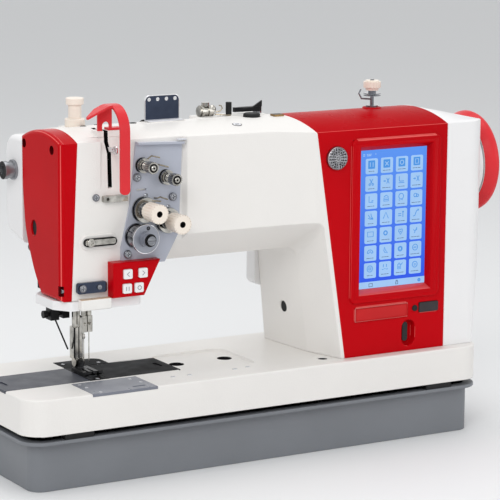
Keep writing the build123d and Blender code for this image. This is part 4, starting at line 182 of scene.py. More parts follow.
REGULATOR_RIM_RADIUS = 15.6
REGULATOR_RIM_WIRE = 0.4
REGULATOR_EYE_AT = (2.6, -71.2, 11.4)
REGULATOR_EYE = ((2.2, 0.0), (2.2, 0.5), (1.9, 0.7), (1.3, 0.7), (1.1, 0.3))
RIVETS = ((47.7, -48.4, 200.4), (75.0, -48.4, 186.2))
RIVET = ((2.5, 0.0), (2.4, 0.8), (1.5, 1.5))
PLATE_TAB = ((84.0, -55.2, 258.4), (94.5, -48.2, 259.8))
HOOK_RUNS = (
    ((47.1, -48.0, 239.0), (47.1, -55.0, 241.0), (51.1, -55.0, 243.9), (61.1, -55.0, 241.4)),
    ((60.6, -48.0, 233.6), (61.6, -55.0, 233.3), (71.7, -55.0, 230.4)),
    ((58.0, -48.0, 196.8), (58.6, -55.0, 197.6), (61.7, -55.0, 198.7), (70.8, -55.0, 195.3)),
    ((51.4, -48.0, 195.6), (52.1, -55.0, 195.4), (62.7, -55.0, 193.7)),
)
OIL_CUPS = (
    (3.0, 11.0, 3.4), (13.5, 15.0, 3.4), (23.5, 19.0, 3.4), (61.9, 8.4, 4.4), (77.1, 13.8, 3.4),
)
CUP_STEPS = ((0.0, 0.0), (0.0, 0.9), (0.4, 1.1), (1.2, 1.1), (1.5, 0.7))
CUP_SINK = 0.6
CUP_SEARCH_HEIGHT = 400.0
# The bright wire round the guide plate is a painted highlight.
PLATE_RIM = (76.8, 119.2, 273.0, 299.7, 8.2)
PLATE_RIM_CORNER = 6.0
PLATE_RIM_WIRE = 0.55 * MILLIMETRE
WINDER_BALL_AT = (167.0, 19.0, 275.4)
WINDER_BALL = ((2.6, 0.0), (3.9, 1.2), (4.6, 3.0), (4.6, 4.8), (3.9, 6.6), (2.4, 7.9), (0.9, 8.3))
WINDER_HOOKS = (
    (
        (170.0, 16.0, 276.0), (174.5, 14.0, 277.0), (177.5, 14.0, 280.0), (176.0, 14.0, 283.0),
        (173.5, 15.0, 283.4),
    ),
    ((170.0, 18.0, 273.4), (176.0, 12.0, 273.0), (182.0, 10.0, 272.4), (186.0, 10.0, 272.2)),
)
WINDER_HOOK_WIRE = 0.7 * MILLIMETRE
FRONT_CAP_AT = (168.3, -34.5, 268.1)
FRONT_CAP_UP = (-0.02, -0.17, 0.985)
FRONT_CAP = ((4.6, -0.6), (4.6, 0.4), (4.2, 0.7), (3.0, 0.7), (2.8, 0.4))
# The cap's black slot block is painted shade.
FRONT_CAP_SLOT_SHADE = ((-2.4, -0.9, 0.1), (2.4, 0.9, 0.75))
FRONT_CAP_RING_RADIUS = 5.0
FRONT_CAP_RING_WIRE = 0.4

# Slits of the loudspeaker grille, its ring and reach in metres
SPEAKER_RING = 0.0027
SPEAKER_REACH = 0.0122
SPEAKER_FIRST_SLITS = 6.0
SPEAKER_MORE_SLITS = 4.0
SPEAKER_SLIT_LEVEL = -0.15
SPEAKER_RING_WALL = 0.3

# The screen picture, in millimetres but for its wires, which are in metres
GLASS_TONE = (0.01, 0.012, 0.02, 1.0)
SCREEN_GLOW = 0.95
TILE_CORNER = 1.6
TILE_LIFT = 0.25
TILE_SINK = 0.05
SIGN_SCALE = 0.85
SIGN_RISE = 1.8
INNER_LIFT = 0.3
FIELD_LOW = (-4.4, -2.9)
FIELD_HIGH = (4.4, 6.5)
FIELD_CORNER = 0.6
CAPTION_DROP = 5.8
CAPTION_DASHES = ((2.6, 3, 0.9), (1.4, 2, 1.1), (2.0, 4, 0.6))
CAPTION_GAP = 0.7
CAPTION_WIRE = 0.32 * MILLIMETRE
FOOT_MARGIN = 0.3
FOOT_TOP = 7.8
FOOT_MIDDLE = 4.0
FOOT_WIRE = 0.4 * MILLIMETRE
DOT_WIRE = 0.8 * MILLIMETRE
STATUS_WIRE = 0.5 * MILLIMETRE
STATUS_DASHES = (
    (7.6, 2.2, 8.6), (7.6, 2.2, 10.2), (12.4, 1.5, 8.6), (14.8, 1.3, 8.6), (17.0, 1.6, 8.6),
    (12.6, 5.4, 10.2), (23.6, 1.2, 8.8),
)
SCREEN_SILL_TOP = 80.0
SCREEN_FRAME = (
    (296.8, 407.2, 66.8, 243.2, -78.15),
    (302.8, 400.4, 70.7, 239.7, -78.15),
    (306.0, 397.5, 76.2, 234.0, -69.02),
    (304.2, 399.8, 76.1, 237.8, -69.02),
    (298.6, 405.4, 68.6, 241.4, -77.2),
    (296.8, 407.2, 66.8, 243.2, -77.9),
)

# Floor and light, in metres
FLOOR_X = 0.15
FLOOR_TONE = (0.83, 0.83, 0.83, 1.0)
FLOOR_ROUGHNESS = 0.7
WORLD_TINT = (0.96, 0.98, 1.0, 1.0)
LAMPS = (
    ("key_lamp", (-1.5, -1.7, 1.9), (0.1, 0.0, 0.25), 1.5, 30.0),
    ("fill_lamp", (1.9, -1.9, 0.9), (0.2, 0.0, 0.2), 1.6, 9.0),
    ("top_lamp", (0.3, 0.4, 2.3), (0.15, 0.0, 0.2), 1.4, 16.0),
)


def linear(red, green, blue):
    """A colour as it looks on a screen, 0 to 255, as the linear values that shaders take."""
    values = []
    for channel in (red, green, blue):
        share = channel / 255.0
        if share <= 0.04045:
            values.append(share / 12.92)
        else:
            values.append(((share + 0.055) / 1.055) ** 2.4)
    return tuple(values)


def colour_property(name, description, red, green, blue):
    return bpy.props.FloatVectorProperty(
        name=name,
        description=description,
        subtype="COLOR",
        size=3,
        min=0.0,
        max=1.0,
        default=linear(red, green, blue),
    )


def length_property(name, description, millimetres):
    return bpy.props.FloatProperty(
        name=name,
        description=description,
        unit="LENGTH",
        subtype="DISTANCE",
        default=millimetres * MILLIMETRE,
    )


def angle_property(name, description, degrees):
    return bpy.props.FloatProperty(
        name=name,
        description=description,
        unit="ROTATION",
        subtype="ANGLE",
        default=math.radians(degrees),
    )


class MachineColours(bpy.types.PropertyGroup):
    white_enamel: colour_property("White enamel", "Textured enamel on the castings", 234, 231, 227)
    white_cover: colour_property("White covers", "Satin plastic of the end and rear covers", 236, 235, 235)
    red_gloss: colour_property("Red gloss", "Face plate and panel housing", 190, 4, 16)
    coral: colour_property("Coral", "Take-up guard and handwheel rim", 218, 52, 58)
    tension_plate: colour_property("Blue grey", "Painted tension plate", 178, 182, 194)
    charcoal: colour_property("Charcoal", "Left slide plate", 74, 77, 86)
    black_oxide: colour_property("Black oxide", "Blackened needle, slide and rear plates", 26, 26, 28)
    pan: colour_property("Oil pan grey", "Painted oil pan", 118, 121, 126)
    cream: colour_property("Cream", "Cream plastic knobs", 240, 229, 216)
    chrome: colour_property("Chrome", "Plated small parts", 128, 130, 136)
    # Painted highlight along the edges of plated parts.
    chrome_highlight: colour_property("Chrome highlight", "Painted highlight on the edges of plated parts", 226, 227, 230)
    dark_mirror: colour_property("Dark mirror", "Polished guide plate and guide bar", 66, 73, 90)
    steel: colour_property("Steel", "Ground steel parts", 168, 170, 175)
    brass: colour_property("Brass", "Bobbin thread cutter", 150, 122, 82)
    # Raw casting inside the castings, and painted shade in holes, slots and the nuts' bores.
    raw_casting: colour_property("Raw casting and shade", "Unpainted inside of the castings and painted shade in hollows", 22, 22, 24)
    screen_top: colour_property("Screen top", "Upper colour of the screen picture", 92, 152, 245)
    screen_low: colour_property("Screen bottom", "Lower colour of the screen picture", 40, 84, 236)
    tile: colour_property("Screen tile", "Tiles of the screen picture", 166, 206, 250)
    sign: colour_property("Screen sign", "Signs on the tiles", 78, 152, 232)
    caption: colour_property("Screen caption", "Dashes under the signs", 66, 78, 112)
    mark: colour_property("Key mark", "Printed marks on the keys", 128, 130, 136)


class MachineSizes(bpy.types.PropertyGroup):
    casting_edge: length_property("Casting edge", "Rounding of the castings' sharp edges", 1.0)
    cover_edge: length_property("Cover edge", "Rounding of the covers' sharp edges", 0.8)
    part_edge: length_property("Part edge", "Rounding of moulded and machined parts", 0.3)
    fine_edge: length_property("Fine edge", "Rounding of plates and small turned parts", 0.15)
    # The lighter line along the red edges is a painted highlight.
    highlight_width: length_property("Painted edge highlight", "Width of the lighter line along the red edges", 0.7)
    no_edge: length_property("No edge", "Rounding of parts that stay as they are", 0.0)
    smooth_angle: angle_property("Smooth angle", "Edges flatter than this look smooth", 32.0)
    tile_width: length_property("Tile width", "Width of one tile of the screen picture", 15.4)
    tile_height: length_property("Tile height", "Height of one tile of the screen picture", 17.2)
    tile_across: length_property("Tile step across", "Distance from tile to tile across the screen", 20.4)
    tile_down: length_property("Tile step down", "Distance from tile to tile down the screen", 19.83)
    tile_margin: length_property("Tile margin", "Space left of the first tile", 11.0)
    tile_head: length_property("Tile head", "Space above the first tile", 13.6)
    frame_edge: length_property("Screen frame edge", "Rounding of the screen's sloped frame", 0.5)
    sign_stroke: length_property("Sign stroke", "Half thickness of the signs' strokes", 0.45)
    mark_stroke: length_property("Mark stroke", "Half thickness of the key marks' strokes", 0.4)
    hook_wire: length_property("Hook wire", "Half thickness of the thread hooks", 0.8)


class MachineStage(bpy.types.PropertyGroup):
    azimuth: angle_property("Azimuth", "Turn of the camera about the vertical", -30.54)
    elevation: angle_property("Elevation", "Height angle of the camera", 10.51)
    roll: angle_property("Roll", "Turn of the camera about its own axis", 0.459)
    camera_x: length_property("Camera X", "Place of the camera along the bed", -1150.8)
    camera_y: length_property("Camera Y", "Place of the camera across the bed", -2300.5)
    camera_rise: length_property("Camera rise", "Height of the camera over the bed top", 614.7)
    floor_size: length_property("Floor size", "Side of the floor", 40000.0)
    world_light: bpy.props.FloatProperty(
        name="Ambient light", description="Strength of the light from all round", default=0.62, min=0.0
    )


def colours():
    return bpy.context.scene.machine_colours


def sizes():
    return bpy.context.scene.machine_sizes


def stage_settings():
    return bpy.context.scene.machine_stage


# Selection and mesh helpers


def clear_selection():
    if bpy.context.mode != "OBJECT":
        bpy.ops.object.mode_set(mode="OBJECT")
    bpy.ops.object.select_all(action="DESELECT")


def take(piece):
    clear_selection()
    piece.select_set(True)
    bpy.context.view_layer.objects.active = piece


def edit(piece):
    take(piece)
    bpy.ops.object.mode_set(mode="EDIT")
    bpy.ops.mesh.select_mode(type="VERT")
    bpy.ops.mesh.select_all(action="SELECT")


def leave_edit():
    bpy.ops.object.mode_set(mode="OBJECT")


def apply_modifier(piece, kind, **settings):
    take(piece)
    modifier = piece.modifiers.new(kind.title(), kind)
    for name, value in settings.items():
        setattr(modifier, name, value)
    bpy.ops.object.modifier_apply(modifier=modifier.name)


def smooth(piece):
    take(piece)
    bpy.ops.object.shade_smooth_by_angle(angle=sizes().smooth_angle)


def carried(node, edge):
    """A merged copy of a CAD node's mesh with its sharp edges rounded."""
    source = frame["nodes"][node]
    piece = bpy.data.objects.new(node + "_finished", source.data.copy())
    bpy.context.scene.collection.objects.link(piece)
    piece.data.materials.clear()
    edit(piece)
    bpy.ops.mesh.remove_doubles(threshold=MERGE_DISTANCE)
    bpy.ops.mesh.dissolve_limited(angle_limit=FLAT_ANGLE)
    leave_edit()
    if edge > 0.0:
        wide = edge > WIDE_EDGE
        apply_modifier(
            piece, "BEVEL", width=edge, segments=3 if wide else 2, limit_method="ANGLE",
            angle_limit=NODE_ANGLE, use_clamp_overlap=not wide,
        )
    smooth(piece)
    apply_modifier(piece, "WEIGHTED_NORMAL", keep_sharp=True, weight=NORMAL_WEIGHT)
    return piece


def body_of(node):
    return frame["nodes"][node]["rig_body"]


def settle(piece, body, finish_name, slot, *nodes):
    """Gives a finished piece its material and its body, and hides the CAD nodes it stands for. The slot
    argument is not used.
    """
    piece.data.materials.clear()
    piece.data.materials.append(finish(finish_name))
    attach(piece, body)
    if nodes:
        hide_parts(*nodes)
    return piece


def at(x, y, z):
    """A place given in millimetres over the bed's top, as metres in the shared frame."""
    return Vector((x * MILLIMETRE, y * MILLIMETRE, z * MILLIMETRE + BED_TOP))


def repaint(piece, finish_name, chosen):
    """Gives a second finish to the faces whose centre, in millimetres over the bed, and normal fit."""
    piece.data.materials.append(finish(finish_name))
    index = len(piece.data.materials) - 1
    for face in piece.data.polygons:
        centre = (face.center - Vector((0.0, 0.0, BED_TOP))) / MILLIMETRE
        if chosen(centre, face.normal):
            face.material_index = index


def between(value, limits):
    return limits[0] <= value <= limits[1]


def within(place, box):
    return all(between(value, limits) for value, limits in zip(place, box))


def moved(place, shift):
    return tuple(value + step for value, step in zip(place, shift))


def block(name, low, high, round_axis="Y", corner=0.0, edge=0.0):
    """A box between two corners, in millimetres, with the edges along one axis rounded first."""
    low, high = at(*low), at(*high)
    corner, edge = corner * MILLIMETRE, edge * MILLIMETRE
    clear_selection()
    bpy.ops.mesh.primitive_cube_add(size=1.0, location=(low + high) / 2.0)
    piece = bpy.context.active_object
    piece.name = name
    piece.scale = high - low
    bpy.ops.object.transform_apply(location=True, rotation=True, scale=True)
    axis = "XYZ".index(round_axis)
    if corner > 0.0:
        edit(piece)
        bpy.ops.mesh.select_all(action="DESELECT")
        leave_edit()
        for side in piece.data.edges:
            ends = [piece.data.vertices[i].co for i in side.vertices]
            along = ends[0] - ends[1]
            side.select = abs(along[axis]) > PARALLEL_SHARE * along.length
        bpy.ops.object.mode_set(mode="EDIT")
        bpy.ops.mesh.select_mode(type="EDGE")
        bpy.ops.mesh.bevel(offset=corner, segments=CORNER_SEGMENTS, affect="EDGES")
        leave_edit()
    if edge > 0.0:
        apply_modifier(
            piece, "BEVEL", width=edge, segments=2, limit_method="ANGLE", angle_limit=BLOCK_ANGLE
        )
    smooth(piece)
    return piece


def stand(piece, place, direction):
    """Turns a piece made along Z to a direction and takes it to its place, in millimetres."""
    turn = UP.rotation_difference(Vector(direction)).to_matrix().to_4x4()
    piece.matrix_world = Matrix.Translation(at(*place)) @ turn
    bpy.ops.object.transform_apply(location=True, rotation=True, scale=True)
    smooth(piece)
    return piece


def turned(name, start, direction, profile, sides=32):
    """A round part: a disc drawn out along its axis and resized at each step, in millimetres."""
    clear_selection()
    radius, place = profile[0]
    bpy.ops.mesh.primitive_circle_add(
        vertices=sides, radius=radius * MILLIMETRE, fill_type="NGON", location=(0.0, 0.0, place * MILLIMETRE)
    )
    piece = bpy.context.active_object
    piece.name = name
    bpy.ops.object.transform_apply(location=True, rotation=True, scale=True)
    bpy.ops.object.mode_set(mode="EDIT")
    bpy.ops.mesh.select_mode(type="FACE")
    bpy.ops.mesh.select_all(action="SELECT")
    for new_radius, new_place in profile[1:]:
        rise = (new_place - place) * MILLIMETRE
        bpy.ops.mesh.extrude_region_move(TRANSFORM_OT_translate={"value": (0.0, 0.0, rise)})
        share = new_radius / radius
        bpy.ops.transform.resize(
            value=(share, share, 1.0), center_override=(0.0, 0.0, new_place * MILLIMETRE)
        )
        radius, place = new_radius, new_place
    bpy.ops.mesh.select_all(action="SELECT")
    bpy.ops.mesh.normals_make_consistent(inside=False)
    leave_edit()
    return stand(piece, start, direction)


def wire(name, runs, radius, sides=2):
    """Round wire along runs of points, in millimetres, each with a word on whether it closes."""
    curve = bpy.data.curves.new(name, "CURVE")
    curve.dimensions = "3D"
    curve.bevel_depth = radius
    curve.bevel_resolution = sides
    curve.use_fill_caps = True
    for points, closed in runs:
        spline = curve.splines.new("POLY")
        spline.points.add(len(points) - 1)
        spline.use_cyclic_u = closed
        for knot, place in zip(spline.points, points):
            knot.co = (*at(*place), 1.0)
    piece = bpy.data.objects.new(name, curve)
    bpy.context.scene.collection.objects.link(piece)
    take(piece)
    bpy.ops.object.convert(target="MESH")
    piece = bpy.context.active_object
    smooth(piece)
    return piece


def hoop(name, centre, direction, radius, thickness):
    """One turn of wire about an axis, in millimetres."""
    clear_selection()
    bpy.ops.mesh.primitive_torus_add(
        major_segments=HOOP_SEGMENTS,
        minor_segments=HOOP_SIDES,
        major_radius=radius * MILLIMETRE,
        minor_radius=thickness * MILLIMETRE,
    )
    piece = bpy.context.active_object
    piece.name = name
    return stand(piece, centre, direction)


def joined(pieces, name):
    clear_selection()
    for piece in pieces:
        piece.select_set(True)
    bpy.context.view_layer.objects.active = pieces[0]
    bpy.ops.object.join()
    result = bpy.context.active_object
    result.name = name
    return result


def repeated(first, name, shifts):
    """A piece and its copies, each moved by millimetres, as one piece."""
    pieces = [first]
    for shift in shifts:
        twin = first.copy()
        twin.data = first.data.copy()
        twin.data.transform(Matrix.Translation(Vector(shift) * MILLIMETRE))
        bpy.context.scene.collection.objects.link(twin)
        pieces.append(twin)
    return joined(pieces, name)


def framed(name, loops, edge):
    """A closed frame drawn out through loops of left, right, low, high and depth, in millimetres."""
    clear_selection()
    bpy.ops.mesh.primitive_plane_add(size=1.0)
    piece = bpy.context.active_object
    piece.name = name
    left, right, low, high, depth = loops[0]
    middle = at((left + right) / 2.0, depth, (low + high) / 2.0)
    spread = Matrix.Diagonal(((right - left) * MILLIMETRE, (high - low) * MILLIMETRE, 1.0, 1.0))
    piece.matrix_world = Matrix.Translation(middle) @ Matrix.Rotation(math.pi / 2.0, 4, "X") @ spread
    bpy.ops.object.transform_apply(location=True, rotation=True, scale=True)
    bpy.ops.object.mode_set(mode="EDIT")
    bpy.ops.mesh.select_all(action="SELECT")
    bpy.ops.mesh.delete(type="ONLY_FACE")
    bpy.ops.mesh.select_mode(type="EDGE")
    bpy.ops.mesh.select_all(action="SELECT")
    for new_left, new_right, new_low, new_high, new_depth in loops[1:] + loops[:1]:
        place = at((new_left + new_right) / 2.0, new_depth, (new_low + new_high) / 2.0)
        bpy.ops.mesh.extrude_region_move(TRANSFORM_OT_translate={"value": place - middle})
        share = ((new_right - new_left) / (right - left), 1.0, (new_high - new_low) / (high - low))
        bpy.ops.transform.resize(value=share, center_override=place)
        left, right, low, high, middle = new_left, new_right, new_low, new_high, place
    bpy.ops.mesh.select_all(action="SELECT")
    bpy.ops.mesh.remove_doubles(threshold=FRAME_MERGE_DISTANCE)
    bpy.ops.mesh.normals_make_consistent(inside=False)
    leave_edit()
    apply_modifier(piece, "BEVEL", width=edge, segments=2, limit_method="ANGLE", angle_limit=FRAME_ANGLE)
    smooth(piece)
    return piece


def circle_points(radius, across=0.0, up=0.0, start=0.0, end=360.0, count=18):
    """Points of a circle or an arc in a flat sign, from one angle to another in degrees."""
    points = []
    steps = count if end - start == 360.0 else count - 1
    for index in range(count):
        angle = math.radians(start + (end - start) * index / steps)
        points.append((across + radius * math.cos(angle), up + radius * math.sin(angle)))
    return tuple(points)


# Where a second finish goes


def in_bed(centre, normal):
    """Inside and underside of the bed, with the walls of its holes: raw casting, and painted shade in the
    holes.
    """
    for x, y, radius in BED_HOLES:
        reach = math.hypot(centre.x - x, centre.y - y)
        if reach < radius + BED_HOLE_MARGIN and centre.z < BED_HOLE_TOP:
            return True
    along, across = abs(centre.x - BED_MIDDLE), abs(centre.y)
    outward = abs(normal.z) < 0.7 and normal.x * (centre.x - BED_MIDDLE) + normal.y * centre.y > 0.0
    at_corner = along > BED_CORNER_FROM[0] and across > BED_CORNER_FROM[1]
    inside = along < BED_CAVITY_HALF[0] and across < BED_CAVITY_HALF[1]
    return inside and centre.z < BED_CAVITY_TOP and not (outward and at_corner)


def in_arm(centre, normal):
    """Cavities of the arm and the take-up lever's slot, but not the painted recess in front of it: raw
    casting, and painted shade in the slot.
    """
    if within(centre, LEVER_SLOT):
        behind = centre.y > LEVER_RECESS_REAR and normal.y < -0.3
        return abs(normal.x) > 0.8 or normal.y > 0.3 or behind
    return any(within(centre, cavity) for cavity in ARM_CAVITIES)


def in_face_pit(centre, normal):
    """Walls and floors of the face plate's screw pits, which take a dark red as painted shade."""
    for y, z in FACE_PITS:
        if math.hypot(centre.y - y, centre.z - z) < FACE_PIT_REACH and centre.x > FACE_PIT_FRONT:
            return True
    return within(centre, LOW_FACE_PIT)


def on_roof(centre, normal):
    """Upper side of the panel housing, which takes a darker red as painted shade."""
    return normal.z > 0.85 and centre.z > ROOF_FROM


def on_stop_front(centre, normal):
    """Rubber face of the actuator's stop."""
    return normal.x < -0.9 and centre.x < STOP_FRONT


def on_pan_floor(centre, normal):
    return normal.z > 0.5 and centre.z < PAN_FLOOR_TOP


def on_face_screw(centre, normal):
    return centre.x < FACE_SCREWS_FROM[0] and centre.z > FACE_SCREWS_FROM[1]


# Upper faces of the bed's screws, which take a pale paint as painted highlight.
def on_bed_screw(centre, normal):
    return centre.z < BED_SCREW_TOP and normal.z > 0.3


def on_lamp_top(centre, normal):
    return normal.z > 0.6


def on_plate_top(centre, normal):
    """Upper edge of the tension plate, which takes a pale grey as painted highlight."""
    return normal.z > 0.6 and centre.z > PLATE_TOP_FROM


def on_second_disc_reflection(centre, normal):
    """Every second layer of the tension discs, which takes the brighter nickel finish as a painted
    reflection.
    """
    return math.floor(-centre.y / DISC_STEP) % 2 == 0


def off_axis(centre, spot):
    """Distance from an axis that runs from front to back."""
    return math.hypot(centre.x - spot[0], centre.z - spot[1])


# The small nuts' bores take the dark raw-casting finish as painted shade.
def in_left_bore(centre, normal):
    return off_axis(centre, NUT_LEFT) < NUT_BORE_REACH


def in_right_bore(centre, normal):
    return off_axis(centre, NUT_RIGHT) < NUT_BORE_REACH


def on_regulator_disc(centre, normal):
    return between(centre.y, REGULATOR_DISC) and off_axis(centre, REGULATOR_SPOT) < REGULATOR_DISC_REACH


def on_regulator_ring(centre, normal):
    return between(centre.y, REGULATOR_RING) and normal.y < -0.5


# Sides of the presser bar's shank, which take black as painted shade.
def on_presser_shaded_side(centre, normal):
    return abs(normal.x) > 0.6 and between(centre.z, PRESSER_SHADE)


def on_wheel_face(centre, normal):
    return math.hypot(centre.y, centre.z - SHAFT_HEIGHT) < WHEEL_FACE_RADIUS


# Edge faces of the guide plate, which take bright chrome as a painted highlight.
def on_guide_edge(centre, normal):
    return abs(normal.y) < 0.6


# The guide plate's foot, which takes a pale paint as painted highlight.
def on_guide_foot(centre, normal):
    return centre.z < GUIDE_FOOT_TOP


def on_winder_tyre(centre, normal):
    return between(centre.x, WINDER_TYRE)


def on_winder_tension(centre, normal):
    return between(centre.x, WINDER_TENSION)


def on_cutter(centre, normal):
    return between(centre.x, CUTTER) and centre.y < CUTTER_REAR


def on_cutter_top(centre, normal):
    return between(centre.x, CUTTER_TOP) and centre.y < CUTTER_REAR and normal.z > 0.5


def on_sill(centre, normal):
    """Lower slope of the screen's frame, which takes a lighter pink red as a painted reflection."""
    return normal.z > 0.6 and normal.y < -0.2 and centre.z < SCREEN_SILL_TOP


def paint_edge_highlights(piece, finish_name, width):
    """Gives the narrow faces along rounded edges a lighter finish, as a painted highlight."""
    piece.data.materials.append(finish(finish_name))
    index = len(piece.data.materials) - 1
    vertices = piece.data.vertices
    for face in piece.data.polygons:
        corners = [vertices[i].co for i in face.vertices]
        longest = max((corners[i] - corners[i - 1]).length for i in range(len(corners)))
        narrow = face.area < longest * width and longest > width * 4.0
        if face.material_index == 0 and narrow and on_ridge(face.normal):
            face.material_index = index


def on_ridge(normal):
    """Whether a narrow face looks up or out along a front edge, where the paint catches the light."""
    if normal.x > 0.1 or normal.y > 0.1 or normal.z < -0.1:
        return False
    if abs(normal.x) < 0.1:
        return between(normal.z, (0.2, 0.98))
    return between(abs(normal.x), (0.6, 0.8))


# Flat signs, as runs of points in millimetres about the sign's centre


def line(*points):
    return (points, False)


def loop(*points):
    return (points, True)


def placed(sign, x, depth, z, scale=1.0):
    """The runs of a flat sign at a place on an upright face."""
    return [
        (tuple((x + across * scale, depth, z + up * scale) for across, up in points), closed)
        for points, closed in sign
    ]


def dash(start, length, depth, z):
    return ((start, depth, z), (start + length, depth, z)), False


SIGNS = {
    "field_ring": (loop(*circle_points(2.8)),),
    "field_cross": (line((-2.6, -2.6), (2.6, 2.6)), line((-2.6, 2.6), (2.6, -2.6))),
    "field_bars": (line((-2.2, -3.0), (-2.2, 3.0)), line((2.2, -3.0), (2.2, 3.0))),
    "field_frame": (loop((-2.6, -3.0), (2.6, -3.0), (2.6, 3.0), (-2.6, 3.0)),),
    "cross": (line((-2.4, 4.0), (1.6, -2.4)), line((2.4, 4.0), (-1.6, -2.4)),
              loop(*circle_points(1.2, -2.4, -3.2)), loop(*circle_points(1.2, 2.4, -3.2))),
    "pull": (line((0.4, 3.6), (4.4, -3.6)), line((4.4, 3.6), (0.4, -3.6)), line((-5.0, 0.0), (-1.6, 0.0)),
             line((-2.8, 1.2), (-1.6, 0.0), (-2.8, -1.2))),
    "hook": (line((-3.6, 4.6), (-3.6, -0.6), (-2.4, -2.0), (3.6, -2.0)), line((-4.4, -4.0), (4.4, -4.0))),
    "corner": (line((-3.0, 4.6), (-3.0, -3.6), (3.6, -3.6)), line((0.8, -2.2), (3.6, -1.2))),
    "basket": (loop((-3.6, -3.8), (3.6, -3.8), (3.6, 0.4), (-3.6, 0.4)),
               line((-3.6, 1.8), (0.0, 4.2), (3.6, 1.8)), line((-3.0, -1.8), (3.0, -1.8))),
    "hoop": (loop(*circle_points(3.8, 0.0, 1.0)), line((0.4, -2.8), (2.2, -4.2)),
             line((-3.6, -3.6), (-2.0, -4.4))),
    "cloud": (loop(*circle_points(2.4, -1.2, 0.8)), loop(*circle_points(1.8, 2.2, 0.2)),
              line((-3.4, -1.4), (3.6, -1.4))),
    "fan": (line((-3.8, 3.0), (-1.4, -0.6), (3.8, -3.2)), line((0.2, 4.4), (1.0, 0.8), (3.8, -3.2)),
            line((-4.0, -1.4), (-0.8, -2.8), (3.8, -3.2))),
    "peak": (line((-4.2, -4.0), (0.0, 4.6), (4.2, -4.0)),),
    "rise": (line((-4.4, 0.8), (0.4, 0.8)), line((-4.4, -1.8), (0.4, -1.8)), line((3.4, -4.0), (3.4, 4.2)),
             line((2.2, 2.8), (3.4, 4.2), (4.6, 2.8))),
    "curve": (line((-4.4, -4.0), (-1.4, -3.6), (0.0, 0.0), (1.4, 3.2), (4.6, 4.0)),
              line((3.2, 2.6), (4.6, 4.0), (3.2, 5.2))),
    "frame": (loop((-4.6, -3.2), (4.6, -3.2), (4.6, 3.2), (-4.6, 3.2)),),
    "washer": (loop(*circle_points(3.0)), loop(*circle_points(2.3))),
    "drop": (loop((0.0, -4.0), (3.2, 0.6), (2.4, 3.4), (0.0, 2.6), (-2.4, 3.4), (-3.2, 0.6)),
             line((-1.2, 0.6), (0.0, -0.6), (1.2, 0.6))),
    "leaf": (line((-3.0, 1.0), (-0.6, -1.8), (2.4, 3.8)), line((-0.6, -1.8), (-1.6, -4.0)),
             line((-0.4, -1.0), (2.6, 1.4))),
    "dome": (line(*circle_points(4.4, 0.0, -2.0, 0.0, 180.0, 13)),
             line((-2.4, -2.6), (0.0, 0.4), (2.4, -2.6)),
             line((-4.4, -2.0), (-3.0, -2.0)), line((3.0, -2.0), (4.4, -2.0))),
    "wedge": (loop((-1.4, 4.4), (0.4, 0.0), (4.0, -4.0), (-0.6, -3.0), (-2.2, -0.6)),),
    "cog": (loop(*circle_points(2.0)), loop(*circle_points(3.4, count=8)),
            loop(*circle_points(3.4, 0.0, 0.0, 22.5, 382.5, 8))),
    "dial": (loop(*circle_points(4.0)), loop(*circle_points(0.7)), line((-2.2, 0.0), (-3.0, 0.0)),
             line((2.2, 0.0), (3.0, 0.0))),
    "target": (loop(*circle_points(4.2)), loop(*circle_points(1.6))),
    "posts": (line((-2.4, 0.4), (-2.4, 4.4)), line((2.4, 0.4), (2.4, 4.4)), line((-4.6, -2.4), (-2.2, -2.4)),
              line((-0.8, -1.8), (0.8, -1.8)), line((2.2, -2.4), (4.6, -2.4))),
    "can": (loop((-3.6, -4.0), (1.2, -4.0), (1.2, 2.2), (-3.6, 2.2)), line((1.2, 0.8), (4.2, 4.0)),
            line((-2.6, 3.6), (0.2, 3.6)), line((-2.6, -2.4), (0.2, -2.4)), line((-2.6, -0.6), (0.2, -0.6))),
    "run": (loop(*circle_points(4.0)), loop((-1.0, -1.8), (2.0, 0.0), (-1.0, 1.8))),
}
FIELD_SIGNS = ("field_ring", "field_cross", "field_bars", "field_frame")
TILE_SIGNS = (
    ("field_bars", "field_cross", "field_ring", "field_frame"),
    ("cross", "pull", "hook", "pull"),
    ("corner", "basket", "hoop", "cloud"),
    ("fan", "peak", "rise", "curve"),
    ("frame", "washer", "drop", "leaf"),
    ("dome", "wedge", "cog", "dial"),
    ("target", "posts", "can", "run"),
)
KEY_MARKS = (
    ("key_upper_left", (line((1.3, 2.4), (-1.5, 0.0), (1.3, -2.4)),)),
    ("key_upper_right", (line((-1.3, 2.4), (1.5, 0.0), (-1.3, -2.4)),)),
    ("key_lower_left", (line((-1.5, -2.2), (-1.5, 2.2)), line((1.5, -2.2), (1.5, 2.2)))),
    ("key_lower_right", (loop(*circle_points(2.1)),)),
)
FOOT_SIGNS = (
    loop((17.9, -1.9), (17.9, 1.6), (22.5, 1.6), (22.5, -1.9)),
    loop((54.2, -2.0), (54.2, 0.4), (57.0, 0.4), (57.0, -2.0)),
    line(*circle_points(1.2, 55.6, 1.0, 0.0, 180.0, 7)),
)
FOOT_DOT = (loop(*circle_points(1.3, 86.2)),)


# Node groups that several finishes share


def shared_group(name, inputs, outputs):
    tree = bpy.data.node_groups.new(name, "ShaderNodeTree")
    for label, kind, default in inputs:
        socket = tree.interface.new_socket(name=label, in_out="INPUT", socket_type=kind)
        socket.default_value = default
    for label, kind in outputs:
        tree.interface.new_socket(name=label, in_out="OUTPUT", socket_type=kind)
    start = tree.nodes.new("NodeGroupInput")
    end = tree.nodes.new("NodeGroupOutput")
    start.location = (-900, 0)
    end.location = (600, 0)
    return tree, start, end


def add_node(tree, kind, place=(0, 0), **settings):
    node = tree.nodes.new(kind)
    node.location = place
    for name, value in settings.items():
        setattr(node, name, value)
    return node


def colour_sockets(sockets):
    """The sockets of a Mix node that carry colours."""
    return [socket for socket in sockets if socket.type == "RGBA"]


